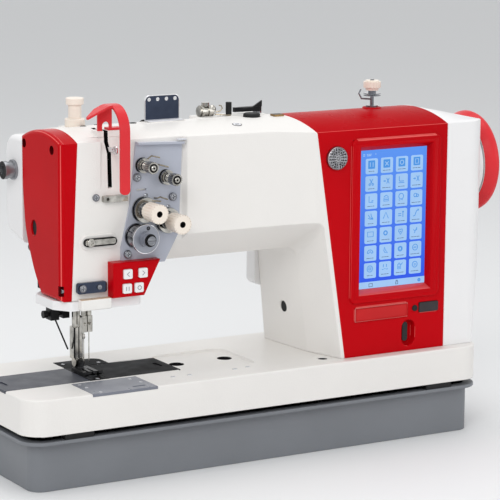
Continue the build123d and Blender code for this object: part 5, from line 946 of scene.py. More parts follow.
def noise_on_surface(tree, scale_socket, detail=3.0, place=(-500, 0), stretch=None):
    coordinates = add_node(tree, "ShaderNodeTexCoord", (place[0] - 400, place[1] - 200))
    vector = coordinates.outputs["Object"]
    if stretch is not None:
        mapping = add_node(tree, "ShaderNodeMapping", (place[0] - 200, place[1] - 200))
        tree.links.new(vector, mapping.inputs["Vector"])
        tree.links.new(stretch, mapping.inputs["Scale"])
        vector = mapping.outputs["Vector"]
    noise = add_node(tree, "ShaderNodeTexNoise", place)
    noise.inputs["Detail"].default_value = detail
    tree.links.new(vector, noise.inputs["Vector"])
    tree.links.new(scale_socket, noise.inputs["Scale"])
    return noise.outputs["Fac"]


def tone_drift_group():
    """Slow change between two close colours."""
    tree, start, end = shared_group(
        "Tone drift",
        (
            ("First", "NodeSocketColor", (0.8, 0.8, 0.8, 1.0)),
            ("Second", "NodeSocketColor", (0.7, 0.7, 0.7, 1.0)),
            ("Scale", "NodeSocketFloat", 12.0),
        ),
        (("Colour", "NodeSocketColor"),),
    )
    value = noise_on_surface(tree, start.outputs["Scale"])
    spread = add_node(tree, "ShaderNodeMapRange", (-200, 0))
    spread.inputs["From Min"].default_value = 0.35
    spread.inputs["From Max"].default_value = 0.65
    tree.links.new(value, spread.inputs["Value"])
    mix = add_node(tree, "ShaderNodeMix", (200, 0), data_type="RGBA")
    tree.links.new(spread.outputs["Result"], mix.inputs["Factor"])
    first, second = colour_sockets(mix.inputs)
    tree.links.new(start.outputs["First"], first)
    tree.links.new(start.outputs["Second"], second)
    tree.links.new(colour_sockets(mix.outputs)[0], end.inputs["Colour"])


def gloss_drift_group():
    """Roughness that wanders between two values, as handled and wiped surfaces do."""
    tree, start, end = shared_group(
        "Gloss drift",
        (
            ("Low", "NodeSocketFloat", 0.2),
            ("High", "NodeSocketFloat", 0.4),
            ("Scale", "NodeSocketFloat", 30.0),
        ),
        (("Roughness", "NodeSocketFloat"),),
    )
    value = noise_on_surface(tree, start.outputs["Scale"], 4.0)
    spread = add_node(tree, "ShaderNodeMapRange", (-100, 0))
    spread.inputs["From Min"].default_value = 0.3
    spread.inputs["From Max"].default_value = 0.7
    tree.links.new(value, spread.inputs["Value"])
    tree.links.new(start.outputs["Low"], spread.inputs["To Min"])
    tree.links.new(start.outputs["High"], spread.inputs["To Max"])
    tree.links.new(spread.outputs["Result"], end.inputs["Roughness"])


def skin_texture_group():
    """Small even bumps, as sprayed enamel, moulded plastic and cast metal have."""
    tree, start, end = shared_group(
        "Skin texture",
        (("Scale", "NodeSocketFloat", 800.0),),
        (("Height", "NodeSocketFloat"),),
    )
    value = noise_on_surface(tree, start.outputs["Scale"], 2.0)
    tree.links.new(value, end.inputs["Height"])


def brushed_grain_group():
    """Fine lines in one direction, as ground and brushed metal has."""
    tree, start, end = shared_group(
        "Brushed grain",
        (
            ("Stretch", "NodeSocketVector", (1.0, 1.0, 1.0)),
            ("Scale", "NodeSocketFloat", 300.0),
            ("Low", "NodeSocketFloat", 0.25),
            ("High", "NodeSocketFloat", 0.45),
        ),
        (("Height", "NodeSocketFloat"), ("Roughness", "NodeSocketFloat")),
    )
    value = noise_on_surface(tree, start.outputs["Scale"], 3.0, stretch=start.outputs["Stretch"])
    spread = add_node(tree, "ShaderNodeMapRange", (-100, -200))
    tree.links.new(value, spread.inputs["Value"])
    tree.links.new(start.outputs["Low"], spread.inputs["To Min"])
    tree.links.new(start.outputs["High"], spread.inputs["To Max"])
    tree.links.new(value, end.inputs["Height"])
    tree.links.new(spread.outputs["Result"], end.inputs["Roughness"])


def edge_wear_and_highlight_group():
    """Convex edges, broken up by noise: rubbed wear on dark parts, and a painted highlight on chrome."""
    tree, start, end = shared_group(
        "Edge rub",
        (("Reach", "NodeSocketFloat", 0.56), ("Scale", "NodeSocketFloat", 90.0)),
        (("Mask", "NodeSocketFloat"),),
    )
    geometry = add_node(tree, "ShaderNodeNewGeometry", (-500, 250))
    spread = add_node(tree, "ShaderNodeMapRange", (-200, 250))
    spread.inputs["From Max"].default_value = 0.75
    tree.links.new(geometry.outputs["Pointiness"], spread.inputs["Value"])
    tree.links.new(start.outputs["Reach"], spread.inputs["From Min"])
    value = noise_on_surface(tree, start.outputs["Scale"], 5.0, (-500, -100))
    product = math_node(tree, "MULTIPLY", spread.outputs["Result"], value, (100, 100))
    tree.links.new(product, end.inputs["Mask"])


def build_groups():
    tone_drift_group()
    gloss_drift_group()
    skin_texture_group()
    brushed_grain_group()
    edge_wear_and_highlight_group()


def place_group(tree, name, place, **values):
    node = add_node(tree, "ShaderNodeGroup", place)
    node.node_tree = bpy.data.node_groups[name]
    for label, value in values.items():
        node.inputs[label.replace("_", " ")].default_value = value
    return node


# Finishes

FINISHES = {}


def shifted(colour, share):
    return tuple(min(1.0, channel * share) for channel in colour) + (1.0,)


def new_material(name):
    material = bpy.data.materials.new(name)
    material.use_nodes = True
    tree = material.node_tree
    shader = tree.nodes["Principled BSDF"]
    return material, tree, shader


def new_finish(name):
    material, tree, shader = new_material(name)
    FINISHES[name] = material
    return tree, shader


def finish(name):
    return FINISHES[name]


def coated(
    name, colour, drift=0.93, drift_scale=14.0, gloss=(0.25, 0.35), gloss_scale=30.0, skin=(900.0, 0.15),
    metal=0.0, shine=0.5, rub=None, wear_and_highlight_reach=0.56,
):
    """Paint, plastic, rubber or bare metal with a drifting tone, drifting gloss and a skin. The rub colour
    on convex edges is wear on dark parts and a painted highlight on chrome.
    """
    tree, shader = new_finish(name)
    tone = place_group(tree, "Tone drift", (-700, 300), Scale=drift_scale)
    tone.inputs["First"].default_value = shifted(colour, 1.0)
    tone.inputs["Second"].default_value = shifted(colour, drift)
    surface = tone.outputs["Colour"]
    if rub is not None:
        mask = place_group(tree, "Edge rub", (-700, 550), Reach=wear_and_highlight_reach)
        mix = add_node(tree, "ShaderNodeMix", (-400, 400), data_type="RGBA")
        sockets = colour_sockets(mix.inputs)
        tree.links.new(mask.outputs["Mask"], mix.inputs["Factor"])
        tree.links.new(surface, sockets[0])
        sockets[1].default_value = shifted(rub, 1.0)
        surface = colour_sockets(mix.outputs)[0]
    tree.links.new(surface, shader.inputs["Base Color"])
    rough = place_group(tree, "Gloss drift", (-700, 0), Low=gloss[0], High=gloss[1], Scale=gloss_scale)
    tree.links.new(rough.outputs["Roughness"], shader.inputs["Roughness"])
    shader.inputs["Metallic"].default_value = metal
    shader.inputs["Specular IOR Level"].default_value = shine
    texture = place_group(tree, "Skin texture", (-700, -300), Scale=skin[0])
    bump = add_node(tree, "ShaderNodeBump", (-350, -300))
    bump.inputs["Strength"].default_value = skin[1]
    bump.inputs["Distance"].default_value = 0.0004
    tree.links.new(texture.outputs["Height"], bump.inputs["Height"])
    tree.links.new(bump.outputs["Normal"], shader.inputs["Normal"])


def ground_metal(name, colour, stretch, gloss=(0.2, 0.4), depth=0.08, drift=0.9):
    """Bright metal with fine lines in one direction."""
    tree, shader = new_finish(name)
    tone = place_group(tree, "Tone drift", (-700, 300), Scale=60.0)
    tone.inputs["First"].default_value = shifted(colour, 1.0)
    tone.inputs["Second"].default_value = shifted(colour, drift)
    tree.links.new(tone.outputs["Colour"], shader.inputs["Base Color"])
    grain = place_group(tree, "Brushed grain", (-700, -100), Scale=500.0, Low=gloss[0], High=gloss[1])
    grain.inputs["Stretch"].default_value = stretch
    tree.links.new(grain.outputs["Roughness"], shader.inputs["Roughness"])
    shader.inputs["Metallic"].default_value = 1.0
    bump = add_node(tree, "ShaderNodeBump", (-350, -300))
    bump.inputs["Strength"].default_value = depth
    bump.inputs["Distance"].default_value = 0.0002
    tree.links.new(grain.outputs["Height"], bump.inputs["Height"])
    tree.links.new(bump.outputs["Normal"], shader.inputs["Normal"])


def lit_picture(name, top, low, box):
    """A lit screen whose colour runs from one tone at its top to another at its foot."""
    tree, shader = new_finish(name)
    coordinates = add_node(tree, "ShaderNodeTexCoord", (-1100, 0))
    split = add_node(tree, "ShaderNodeSeparateXYZ", (-900, 0))
    spread = add_node(tree, "ShaderNodeMapRange", (-700, 0))
    spread.inputs["From Min"].default_value = box[0].z
    spread.inputs["From Max"].default_value = box[1].z
    mix = add_node(tree, "ShaderNodeMix", (-450, 0), data_type="RGBA")
    sockets = colour_sockets(mix.inputs)
    sockets[0].default_value = shifted(low, 1.0)
    sockets[1].default_value = shifted(top, 1.0)
    result = colour_sockets(mix.outputs)[0]
    tree.links.new(coordinates.outputs["Object"], split.inputs["Vector"])
    tree.links.new(split.outputs["Z"], spread.inputs["Value"])
    tree.links.new(spread.outputs["Result"], mix.inputs["Factor"])
    tree.links.new(result, shader.inputs["Emission Color"])
    shader.inputs["Base Color"].default_value = GLASS_TONE
    shader.inputs["Emission Strength"].default_value = SCREEN_GLOW
    shader.inputs["Roughness"].default_value = 0.12
    shader.inputs["Specular IOR Level"].default_value = 0.1


def lit_mark(name, colour):
    """A lit shape on the screen, with the slight unevenness of a backlight."""
    tree, shader = new_finish(name)
    tone = place_group(tree, "Tone drift", (-700, 0), Scale=28.0)
    tone.inputs["First"].default_value = shifted(colour, 1.0)
    tone.inputs["Second"].default_value = shifted(colour, 0.93)
    tree.links.new(tone.outputs["Colour"], shader.inputs["Emission Color"])
    shader.inputs["Base Color"].default_value = GLASS_TONE
    shader.inputs["Emission Strength"].default_value = SCREEN_GLOW
    shader.inputs["Roughness"].default_value = 0.3
    shader.inputs["Specular IOR Level"].default_value = 0.05


def math_node(tree, operation, first, second, place):
    """One step of arithmetic between two sockets or numbers."""
    node = add_node(tree, "ShaderNodeMath", place, operation=operation)
    for socket, value in zip(node.inputs, (first, second)):
        if isinstance(value, float):
            socket.default_value = value
        else:
            tree.links.new(value, socket)
    return node.outputs["Value"]


def pierced_sheet(name, bright, dark, centre):
    """Bright sheet with slits in rings about a centre, as a pressed loudspeaker grille has."""
    tree, shader = new_finish(name)
    coordinates = add_node(tree, "ShaderNodeTexCoord", (-2000, 0))
    mapping = add_node(tree, "ShaderNodeMapping", (-1800, 0))
    mapping.inputs["Location"].default_value = -at(*centre)
    split = add_node(tree, "ShaderNodeSeparateXYZ", (-1600, 0))
    tree.links.new(coordinates.outputs["Object"], mapping.inputs["Vector"])
    tree.links.new(mapping.outputs["Vector"], split.inputs["Vector"])
    across, up = split.outputs["X"], split.outputs["Z"]
    across_square = math_node(tree, "MULTIPLY", across, across, (-1400, 200))
    up_square = math_node(tree, "MULTIPLY", up, up, (-1400, 0))
    squares = math_node(tree, "ADD", across_square, up_square, (-1200, 100))
    radius = math_node(tree, "SQRT", squares, 0.0, (-1050, 100))
    angle = math_node(tree, "ARCTAN2", up, across, (-1200, -200))
    rings = math_node(tree, "DIVIDE", radius, SPEAKER_RING, (-900, 100))
    ring = math_node(tree, "FLOOR", rings, 0.0, (-750, 200))
    along = math_node(tree, "FRACT", rings, 0.0, (-750, 0))
    count = math_node(tree, "MULTIPLY_ADD", ring, SPEAKER_MORE_SLITS, (-600, 200))
    count.node.inputs[2].default_value = SPEAKER_FIRST_SLITS
    turned_by = math_node(tree, "MULTIPLY", angle, count, (-450, 100))
    slits = math_node(tree, "SINE", turned_by, 0.0, (-300, 100))
    open_angle = math_node(tree, "GREATER_THAN", slits, SPEAKER_SLIT_LEVEL, (-150, 100))
    open_ring = math_node(tree, "GREATER_THAN", along, SPEAKER_RING_WALL, (-150, -100))
    inside = math_node(tree, "LESS_THAN", radius, SPEAKER_REACH, (-150, -300))
    open_slit = math_node(tree, "MULTIPLY", open_angle, open_ring, (0, 0))
    pierced = math_node(tree, "MULTIPLY", open_slit, inside, (150, 0))
    mix = add_node(tree, "ShaderNodeMix", (350, 100), data_type="RGBA")
    sockets = colour_sockets(mix.inputs)
    sockets[0].default_value = shifted(bright, 1.0)
    sockets[1].default_value = shifted(dark, 1.0)
    tree.links.new(pierced, mix.inputs["Factor"])
    tree.links.new(colour_sockets(mix.outputs)[0], shader.inputs["Base Color"])
    solid = math_node(tree, "SUBTRACT", 1.0, pierced, (350, -150))
    tree.links.new(solid, shader.inputs["Metallic"])
    rough = place_group(tree, "Gloss drift", (350, -350), Low=0.26, High=0.36, Scale=200.0)
    tree.links.new(rough.outputs["Roughness"], shader.inputs["Roughness"])
    bump = add_node(tree, "ShaderNodeBump", (350, -550))
    bump.inputs["Strength"].default_value = 0.5
    bump.inputs["Distance"].default_value = 0.0006
    tree.links.new(solid, bump.inputs["Height"])
    tree.links.new(bump.outputs["Normal"], shader.inputs["Normal"])


def build_finishes():
    tint = colours()
    worn = linear(112, 113, 116)
    coated("white_enamel", tint.white_enamel, 0.97, 8.0, (0.34, 0.44), 25.0, (700.0, 0.36), shine=0.35)
    coated("white_cover", tint.white_cover, 0.975, 8.0, (0.28, 0.36), 25.0, (1500.0, 0.06), shine=0.4)
    coated("red_gloss", tint.red_gloss, 0.9, 9.0, (0.16, 0.24), 20.0, (500.0, 0.03), shine=0.05)
    # Painted highlight: a light red for the narrow faces along the red covers' edges.
    coated("red_edge", linear(226, 92, 88), 0.9, 40.0, (0.2, 0.3), 40.0, (700.0, 0.03), shine=0.2)
    # Painted shade: a darker, duller red for the housing's upper side.
    coated("red_roof", linear(180, 4, 16), 0.92, 9.0, (0.24, 0.32), 20.0, (500.0, 0.03), shine=0.008)
    # Painted reflection: a lighter pink red for the lower slope of the screen's frame.
    coated("red_sill", linear(214, 70, 72), 0.95, 20.0, (0.1, 0.16), 20.0, (500.0, 0.03), shine=0.5)
    coated("coral", tint.coral, 0.93, 20.0, (0.26, 0.34), 30.0, (800.0, 0.05), shine=0.15)
    # Painted shade: a dark red for the walls and floors of the face plate's screw pits.
    coated("pit_red", linear(92, 3, 9), 0.8, 60.0, (0.3, 0.4), 60.0, (700.0, 0.05), shine=0.1)
    coated("name_sheet", linear(196, 34, 36), 0.95, 30.0, (0.4, 0.5), 40.0, (1500.0, 0.04), shine=0.15)
    coated("name_line", linear(222, 132, 128), 0.94, 60.0, (0.4, 0.5), 60.0, (1500.0, 0.03), shine=0.15)
    coated("pan_grey", tint.pan, 0.92, 10.0, (0.4, 0.52), 25.0, (700.0, 0.15))
    coated("black_rubber", linear(27, 27, 28), 0.8, 40.0, (0.55, 0.7), 40.0, (1500.0, 0.25), shine=0.25)
    coated("charcoal", tint.charcoal, 0.88, 40.0, (0.3, 0.42), 60.0, (1600.0, 0.08), shine=0.12, rub=worn)
    coated("blue_grey", tint.tension_plate, 0.95, 30.0, (0.3, 0.4), 40.0, (1400.0, 0.08), shine=0.3)
    coated(
        "black_metal", tint.black_oxide, 0.8, 60.0, (0.28, 0.42), 60.0, (1500.0, 0.1), shine=0.15, rub=worn
    )
    coated("matt_black", tint.black_oxide, 0.8, 50.0, (0.5, 0.62), 60.0, (1500.0, 0.1), shine=0.04, rub=worn)
    # Unpainted inside of the castings, also used as painted shade in holes, slots and bores.
    coated("raw_casting", tint.raw_casting, 0.7, 40.0, (0.6, 0.8), 40.0, (450.0, 0.35), shine=0.1)
    coated("cream", tint.cream, 0.96, 60.0, (0.3, 0.38), 60.0, (1200.0, 0.05), shine=0.35)
    coated("sight", linear(20, 18, 19), 0.8, 60.0, (0.1, 0.18), 60.0, (700.0, 0.02), shine=0.4)
    coated("lamp", linear(236, 234, 230), 0.95, 40.0, (0.3, 0.4), 50.0, (1200.0, 0.06), shine=0.35)
    coated("lamp_top", linear(206, 178, 150), 0.72, 260.0, (0.25, 0.35), 90.0, (1200.0, 0.06), shine=0.35)
    # Chrome with a painted highlight along its convex edges.
    coated(
        "chrome", tint.chrome, 0.86, 60.0, (0.1, 0.2), 90.0, (900.0, 0.02),
        metal=1.0, rub=tint.chrome_highlight, wear_and_highlight_reach=0.52,
    )
    # Bright chrome for bright parts, and as painted highlight on edges and rims.
    coated("bright_edge", tint.chrome_highlight, 0.94, 60.0, (0.12, 0.22), 90.0, (900.0, 0.02), metal=1.0)
    coated("dark_mirror", tint.dark_mirror, 0.82, 70.0, (0.1, 0.2), 60.0, (700.0, 0.02), metal=1.0)
    coated("brass", tint.brass, 0.85, 80.0, (0.22, 0.34), 90.0, (900.0, 0.05), metal=1.0)
    coated("satin_grey", linear(150, 153, 162), 0.94, 60.0, (0.3, 0.4), 60.0, (900.0, 0.04), metal=0.7)
    ground_metal("steel", tint.steel, (1.0, 0.06, 1.0))
    coated("cast", linear(120, 121, 124), 0.8, 60.0, (0.5, 0.65), 80.0, (450.0, 0.35), metal=0.6)
    coated("alloy", linear(150, 152, 156), 0.9, 50.0, (0.3, 0.42), 60.0, (900.0, 0.1), metal=0.9)
    coated("key_print", tint.mark, 0.95, 90.0, (0.4, 0.5), 60.0, (1500.0, 0.03), shine=0.2)
    pierced_sheet("speaker_grey", linear(168, 168, 172), linear(20, 20, 22), SPEAKER_CENTRE)
    coated("soft_grey", linear(64, 60, 62), 0.85, 40.0, (0.5, 0.6), 40.0, (1500.0, 0.1), shine=0.1)
    coated("dull_brass", linear(150, 140, 122), 0.85, 80.0, (0.2, 0.3), 90.0, (900.0, 0.04), metal=1.0)
    # Nickel with a strong, slow change of tone at random, put there as painted reflections.
    coated("nickel", linear(198, 195, 188), 0.5, 130.0, (0.06, 0.14), 90.0, (900.0, 0.02), metal=1.0)
    coated("plate_grey", linear(124, 127, 137), 0.9, 22.0, (0.26, 0.36), 40.0, (1400.0, 0.06), shine=0.2)
    # Painted highlight: a pale grey for the upward faces of the tension plate and its tab.
    coated("plate_top", linear(206, 208, 214), 0.96, 40.0, (0.3, 0.4), 40.0, (1400.0, 0.05), shine=0.3)
    # Pale paint for the front cap, and as painted highlight on bed screw tops and the guide plate's foot.
    coated("bright_paint", linear(226, 226, 230), 0.95, 60.0, (0.25, 0.35), 60.0, (1400.0, 0.04), shine=0.4)
    lit_picture("screen", tint.screen_top, tint.screen_low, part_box("display"))
    lit_mark("screen_tile", tint.tile)
    lit_mark("screen_sign", tint.sign)
    lit_mark("screen_caption", tint.caption)


# Pieces

RECORD_SLOTS = {
    "dark_mirror": "chrome", "bright_edge": "chrome", "nickel": "chrome", "matt_black": "black_metal",
    "soft_grey": "charcoal", "plate_grey": "blue_grey",
}


class PieceOperator:
    bl_options = {"REGISTER", "UNDO"}
    nodes = ()
    repaints = ()

    def execute(self, context):
        self.build()
        return {"FINISHED"}

    def build(self):
        self.dress_nodes()

    def dress_nodes(self):
        """Every node of the tables in its finishes, by the node's name."""
        pieces = {}
        for node, name, edge in self.nodes:
            slot = RECORD_SLOTS.get(name, name)
            pieces[node] = settle(carried(node, getattr(sizes(), edge)), body_of(node), name, slot, node)
        for node, name, chosen in self.repaints:
            repaint(pieces[node], name, chosen)
        return pieces


class MACHINE_OT_finishes(PieceOperator, bpy.types.Operator):
    """Build the shared node groups and every finish"""

    bl_idname = "machine.finishes"
    bl_label = "Finishes"

    def build(self):
        build_groups()
        build_finishes()


class MACHINE_OT_castings(PieceOperator, bpy.types.Operator):
    """Bed and arm castings, enamelled outside and raw inside, with painted shade in their holes and slots"""

    bl_idname = "machine.castings"
    bl_label = "Bed and arm"
    nodes = (("bed", "white_enamel", "casting_edge"), ("arm", "white_enamel", "casting_edge"))
    repaints = (("bed", "raw_casting", in_bed), ("arm", "raw_casting", in_arm))

    def build(self):
        self.dress_nodes()
        # A thin black sheet in the thread slot, as painted shade.
        slot_shade = block("thread_slot_lining", *SLOT_SHADE_SHEET, "Y", 4.2, 0.2)
        settle(slot_shade, body_of("arm"), "black_metal", "black_metal")


class MACHINE_OT_covers(PieceOperator, bpy.types.Operator):
    """Face plate, panel housing, end cover and rear covers"""

    bl_idname = "machine.covers"
    bl_label = "Covers"
    nodes = (
        ("face_plate", "red_gloss", "part_edge"),
        ("panel_housing", "red_gloss", "cover_edge"),
        ("end_cover", "white_cover", "cover_edge"),
        ("rear_cover", "white_cover", "cover_edge"),
        ("actuator_cover", "white_cover", "cover_edge"),
        ("actuator_stop", "alloy", "part_edge"),
        ("rubber_plugs", "black_rubber", "part_edge"),
        ("speaker_grille", "speaker_grey", "no_edge"),
        ("oil_sight", "sight", "fine_edge"),
        ("port_cover", "soft_grey", "fine_edge"),
    )
    repaints = (
        # The face plate's screw pits take a dark red as painted shade.
        ("face_plate", "pit_red", in_face_pit),
        # The housing's upper side takes a darker red as painted shade.
        ("panel_housing", "red_roof", on_roof),
        ("actuator_stop", "black_rubber", on_stop_front),
    )

    def build(self):
        pieces = self.dress_nodes()
        for node in ("face_plate", "panel_housing"):
            # Painted highlight along the front edges of the face plate and the panel housing.
            paint_edge_highlights(pieces[node], "red_edge", sizes().highlight_width)
        body = body_of("panel_housing")
        settle(block("name_sheet", *NAME_SHEET, "Y", 1.4, 0.1), body, "name_sheet", "red_gloss")
        settle(wire("name_line", ((NAME_CORNERS, True),), NAME_WIRE), body, "name_line", "red_gloss")


class MACHINE_OT_base(PieceOperator, bpy.types.Operator):
    """Oil pan and the rubber cushions between pan and bed"""

    bl_idname = "machine.base"
    bl_label = "Oil pan"
    nodes = (("oil_pan", "pan_grey", "cover_edge"), ("pan_cushions", "black_rubber", "part_edge"))
    repaints = (("oil_pan", "raw_casting", on_pan_floor),)


class MACHINE_OT_bed_plates(PieceOperator, bpy.types.Operator):
    """Needle plate, slide plates, the plates beside them and their screws"""

    bl_idname = "machine.bed_plates"
    bl_label = "Bed plates"
    nodes = (
        ("slide_left", "charcoal", "fine_edge"),
        ("slide_right", "matt_black", "fine_edge"),
        ("needle_plate", "matt_black", "fine_edge"),
        ("rear_plate", "matt_black", "fine_edge"),
        ("front_plate", "plate_grey", "fine_edge"),
        ("screws", "chrome", "fine_edge"),
    )
    # The bed screws' upper faces take a pale paint as painted highlight.
    repaints = (("screws", "black_metal", on_face_screw), ("screws", "bright_paint", on_bed_screw))


class MACHINE_OT_nose(PieceOperator, bpy.types.Operator):
    """Nose plate, lamp, guide bar and brackets under the arm"""

    bl_idname = "machine.nose"
    bl_label = "Nose"
    nodes = (
        ("nose_plate", "white_cover", "part_edge"),
        ("work_lamp", "lamp", "part_edge"),
        ("guide_bar", "dark_mirror", "fine_edge"),
        ("nose_brackets", "black_metal", "fine_edge"),
        ("thread_guides", "nickel", "fine_edge"),
    )
    repaints = (("work_lamp", "lamp_top", on_lamp_top),)


class MACHINE_OT_tensions(PieceOperator, bpy.types.Operator):
    """Tension plate with its discs, nuts, springs, hooks and regulator"""

    bl_idname = "machine.tensions"
    bl_label = "Tensions"
    nodes = (
        ("tension_plate", "blue_grey", "part_edge"),
        ("tension_discs", "chrome", "fine_edge"),
        ("tension_nut_left", "cream", "part_edge"),
        ("tension_nut_right", "cream", "part_edge"),
        ("take_up_spring", "chrome", "fine_edge"),
    )
    repaints = (
        # The tension plate's upper edge takes a pale grey as painted highlight.
        ("tension_plate", "plate_top", on_plate_top),
        # Every second tension disc takes the brighter nickel finish as a painted reflection.
        ("tension_discs", "nickel", on_second_disc_reflection),
        # The nuts' bores take the dark raw-casting finish as painted shade.
        ("tension_nut_left", "raw_casting", in_left_bore),
        ("tension_nut_right", "raw_casting", in_right_bore),
        ("take_up_spring", "satin_grey", on_regulator_disc),
        ("take_up_spring", "black_metal", on_regulator_ring),
    )

    def build(self):
        self.dress_nodes()
        self.build_hooks()
        self.build_rings()
        self.build_regulator()

    def build_hooks(self):
        """Thread hooks, rivets and the upper tab of the tension plate."""
        body = body_of("tension_plate")
        hooks = wire("thread_hooks", [(run, False) for run in HOOK_RUNS], sizes().hook_wire)
        settle(hooks, body, "dull_brass", "chrome")
        first = turned("plate_rivet", RIVETS[0], FORWARD, RIVET, 20)
        shifts = [Vector(place) - Vector(RIVETS[0]) for place in RIVETS[1:]]
        settle(repeated(first, "plate_rivets", shifts), body, "chrome", "chrome")
        # The tab takes the pale grey of the plate's upper edge, as painted highlight.
        settle(block("plate_tab", *PLATE_TAB, "Z", 1.2, 0.3), body, "plate_top", "blue_grey")

    def build_rings(self):
        """Black ring in the mouth of each small nut, as painted shade, with the stud's nickel end in it."""
        body = body_of("tension_discs")
        rings = [turned("nut_ring", (x, NUT_SHADE_RING_DEPTH, z), FORWARD, NUT_SHADE_RING) for x, z in PRE_SPOTS]
        ends = [turned("stud_end", (x, STUD_END_DEPTH, z), FORWARD, STUD_END, 24) for x, z in PRE_SPOTS]
        # Painted shade: black rings in the nuts' mouths.
        settle(joined(rings, "nut_rings"), body, "black_metal", "black_metal")
        settle(joined(ends, "stud_ends"), body, "nickel", "chrome")

    def build_regulator(self):
        """Coils, a bright rim as painted highlight, and eye of the check spring's regulator."""
        x, z = REGULATOR_SPOT
        body = body_of("take_up_spring")
        first = hoop("regulator_coil", (x, COIL_START, z), BACKWARD, COIL_RADIUS, COIL_WIRE)
        shifts = [(0.0, -COIL_STEP * index, 0.0) for index in range(1, REGULATOR_TURNS)]
        settle(repeated(first, "regulator_coils", shifts), body, "chrome", "chrome")
        rim_at = (x, REGULATOR_RIM_DEPTH, z)
        rim = hoop("regulator_rim", rim_at, BACKWARD, REGULATOR_RIM_RADIUS, REGULATOR_RIM_WIRE)
        settle(rim, body, "bright_edge", "chrome")
        across, depth, up = REGULATOR_EYE_AT
        eye = turned("regulator_eye", (x + across, depth, z + up), FORWARD, REGULATOR_EYE, 20)
        settle(eye, body, "black_metal", "black_metal")


class MACHINE_OT_take_up(PieceOperator, bpy.types.Operator):
    """Take-up lever and its guard"""

    bl_idname = "machine.take_up"
    bl_label = "Take-up"
    nodes = (("take_up_lever", "bright_edge", "part_edge"), ("take_up_guard", "coral", "part_edge"))


class MACHINE_OT_keys(PieceOperator, bpy.types.Operator):
    """Key box with its four white keys and their printed marks"""

    bl_idname = "machine.keys"
    bl_label = "Keys"
    nodes = (
        ("key_box", "red_gloss", "part_edge"),
        ("key_upper_left", "white_cover", "part_edge"),
        ("key_upper_right", "white_cover", "part_edge"),
        ("key_lower_left", "white_cover", "part_edge"),
        ("key_lower_right", "white_cover", "part_edge"),
    )

    def build(self):
        self.dress_nodes()
        for node, sign in KEY_MARKS:
            low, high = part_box(node)
            middle = (low + high) / 2.0 / MILLIMETRE
            runs = placed(sign, middle.x, low.y / MILLIMETRE, middle.z - BED_TOP / MILLIMETRE)
            mark = wire(node + "_mark", runs, sizes().mark_stroke, 1)
            settle(mark, body_of(node), "key_print", "charcoal")


class MACHINE_OT_needles(PieceOperator, bpy.types.Operator):
    """Needle bars, presser bar and foot, lifter and wiper"""

    bl_idname = "machine.needles"
    bl_label = "Needles and presser"
    nodes = (
        ("needle_bar_left", "nickel", "fine_edge"),
        ("needle_bar_right", "nickel", "fine_edge"),
        ("presser_bar", "nickel", "fine_edge"),
        ("presser_foot", "black_metal", "fine_edge"),
        ("presser_regulator", "cream", "part_edge"),
        ("hand_lifter", "black_metal", "part_edge"),
        ("wiper", "black_metal", "fine_edge"),
    )
    # The shank's sides take black as painted shade.
    repaints = (("presser_bar", "black_metal", on_presser_shaded_side),)


class MACHINE_OT_drive(PieceOperator, bpy.types.Operator):
    """Shafts, handwheel, motor, belt, hooks and feed"""

    bl_idname = "machine.drive"
    bl_label = "Drive and hooks"
    nodes = (
        ("main_shaft", "steel", "fine_edge"),
        ("handwheel", "coral", "part_edge"),
        ("timing_belt", "black_rubber", "no_edge"),
        ("drive_motor", "alloy", "part_edge"),
        ("lower_shaft", "steel", "fine_edge"),
        ("hook_left", "steel", "fine_edge"),
        ("hook_right", "steel", "fine_edge"),
        ("hook_saddles", "cast", "part_edge"),
        ("bobbin_cases", "steel", "fine_edge"),
        ("bobbins", "alloy", "fine_edge"),
        ("feed_bar", "steel", "fine_edge"),
    )
    repaints = (("handwheel", "white_cover", on_wheel_face),)


